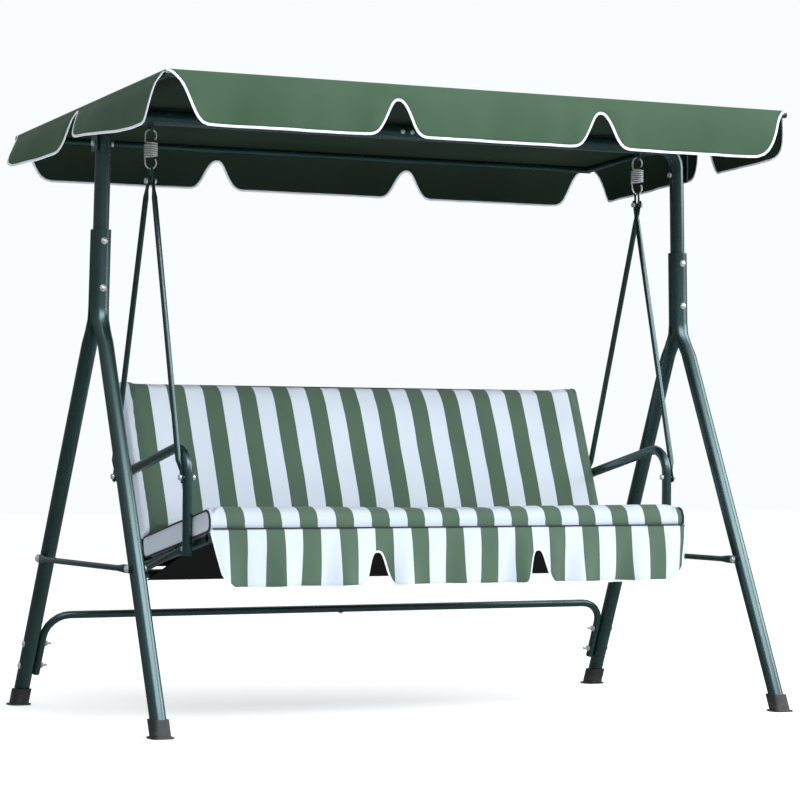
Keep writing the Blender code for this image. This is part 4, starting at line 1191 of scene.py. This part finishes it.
def make_camera():
    """The photograph's camera: its place, its heading and a long lens."""
    data = bpy.data.cameras.new("camera")
    data.sensor_width = 36.0
    data.lens = CAMERA_LENS
    data.clip_end = 60.0
    camera = bpy.data.objects.new("camera", data)
    level = math.cos(CAMERA_PITCH)
    forward = Vector((math.sin(CAMERA_YAW) * level, math.cos(CAMERA_YAW) * level, math.sin(CAMERA_PITCH)))
    right = Vector((math.cos(CAMERA_YAW), -math.sin(CAMERA_YAW), 0))
    up = right.cross(forward)
    rolled_right = right * math.cos(CAMERA_ROLL) + up * math.sin(CAMERA_ROLL)
    rolled_up = up * math.cos(CAMERA_ROLL) - right * math.sin(CAMERA_ROLL)
    turn = Matrix((rolled_right, rolled_up, -forward)).transposed().to_4x4()
    camera.matrix_world = Matrix.Translation(Vector(CAMERA_PLACE) + PLANE) @ turn
    bpy.context.scene.collection.objects.link(camera)
    bpy.context.scene.camera = camera
    bpy.context.scene.view_settings.view_transform = "Standard"


# Assembly

def smooth_group():
    """Shade a welded mesh smooth everywhere but across its sharp edges."""
    group = bpy.data.node_groups.new("smooth_shading", "GeometryNodeTree")
    group.interface.new_socket("Mesh", in_out="INPUT", socket_type="NodeSocketGeometry")
    group.interface.new_socket("Mesh", in_out="OUTPUT", socket_type="NodeSocketGeometry")
    nodes = group.nodes
    link = group.links.new
    start = nodes.new("NodeGroupInput")
    end = nodes.new("NodeGroupOutput")
    weld = nodes.new("GeometryNodeMergeByDistance")
    weld.inputs["Distance"].default_value = WELD_DISTANCE
    faces = nodes.new("GeometryNodeSetShadeSmooth")
    edges = nodes.new("GeometryNodeSetShadeSmooth")
    edges.domain = "EDGE"
    angle = nodes.new("GeometryNodeInputMeshEdgeAngle")
    gentle = nodes.new("FunctionNodeCompare")
    gentle.operation = "LESS_THAN"
    gentle.inputs[1].default_value = math.radians(SHARP_ANGLE)
    link(start.outputs[0], weld.inputs["Geometry"])
    link(weld.outputs[0], faces.inputs["Geometry"])
    link(faces.outputs[0], edges.inputs["Geometry"])
    link(angle.outputs["Unsigned Angle"], gentle.inputs[0])
    link(gentle.outputs[0], edges.inputs["Shade Smooth"])
    link(edges.outputs[0], end.inputs[0])
    return group


def finish_nodes(materials):
    """Give each CAD node the finish of its slot, and smooth its shading."""
    smooth = smooth_group()
    slots = {part["node"]: part["material_slot"] for part in frame["record"]["subparts"]}
    for name, node in frame["nodes"].items():
        node.data.materials.clear()
        node.data.materials.append(materials[slots[name]])
        node.modifiers.new("smooth", "NODES").node_group = smooth
        node.cycles.shadow_terminator_geometry_offset = 0.15
        node.cycles.shadow_terminator_offset = 0.10


def make_materials():
    """Every finish by its slot's name, and the inner face of the canopy, a darker green as painted shade."""
    # The seat's stripes, on the seat pad and the flap, take the darker whites: painted shade
    seat_stripes = striped_material("seat_stripes", SEAT_STRIPE_START, STRIPE_PITCH, 1, SEAT_WHITES_SHADED)
    back_stripes = striped_material("back_stripes", BACK_STRIPE_START, BACK_STRIPE_PITCH, 2, BACK_WHITES)
    canopy = canopy_material("canopy_green", CANOPY_GREENS, CANOPY_SHINE)
    return {
        "frame_paint": paint_material(),
        "zinc": zinc_material(),
        "foot_plastic": plastic_material(),
        "sling": sling_material(),
        "seat_stripes": seat_stripes,
        "back_stripes": back_stripes,
        "cushion": seat_stripes,
        "canopy": canopy,
        "canopy_fabric": canopy,
        "canopy_inside_shaded": canopy_material("canopy_inside_shaded", CANOPY_INSIDES_SHADED, 0.0),
        "binding": tape_material("binding", *BINDING_TONES),
        "piping": tape_material("piping", *PIPING_TONES),
    }


def main():
    materials = make_materials()
    finish_nodes(materials)
    make_canopy(materials)
    form = seat_form()
    seat = make_cushion("seat_pad", form, materials["seat_stripes"], "seat_cushion")
    sew_piping(seat, form, materials["piping"])
    back = make_cushion("back_pad", back_form(), materials["back_stripes"], "back_cushion")
    make_front_seam(materials["piping"])
    make_flap(materials)
    make_slings(materials)
    for side in SIDES:
        make_spring(side, materials)
    make_fixings(materials)
    make_stage()
    make_world()
    for light in LIGHTS:
        add_light(*light)
    make_camera()


main()
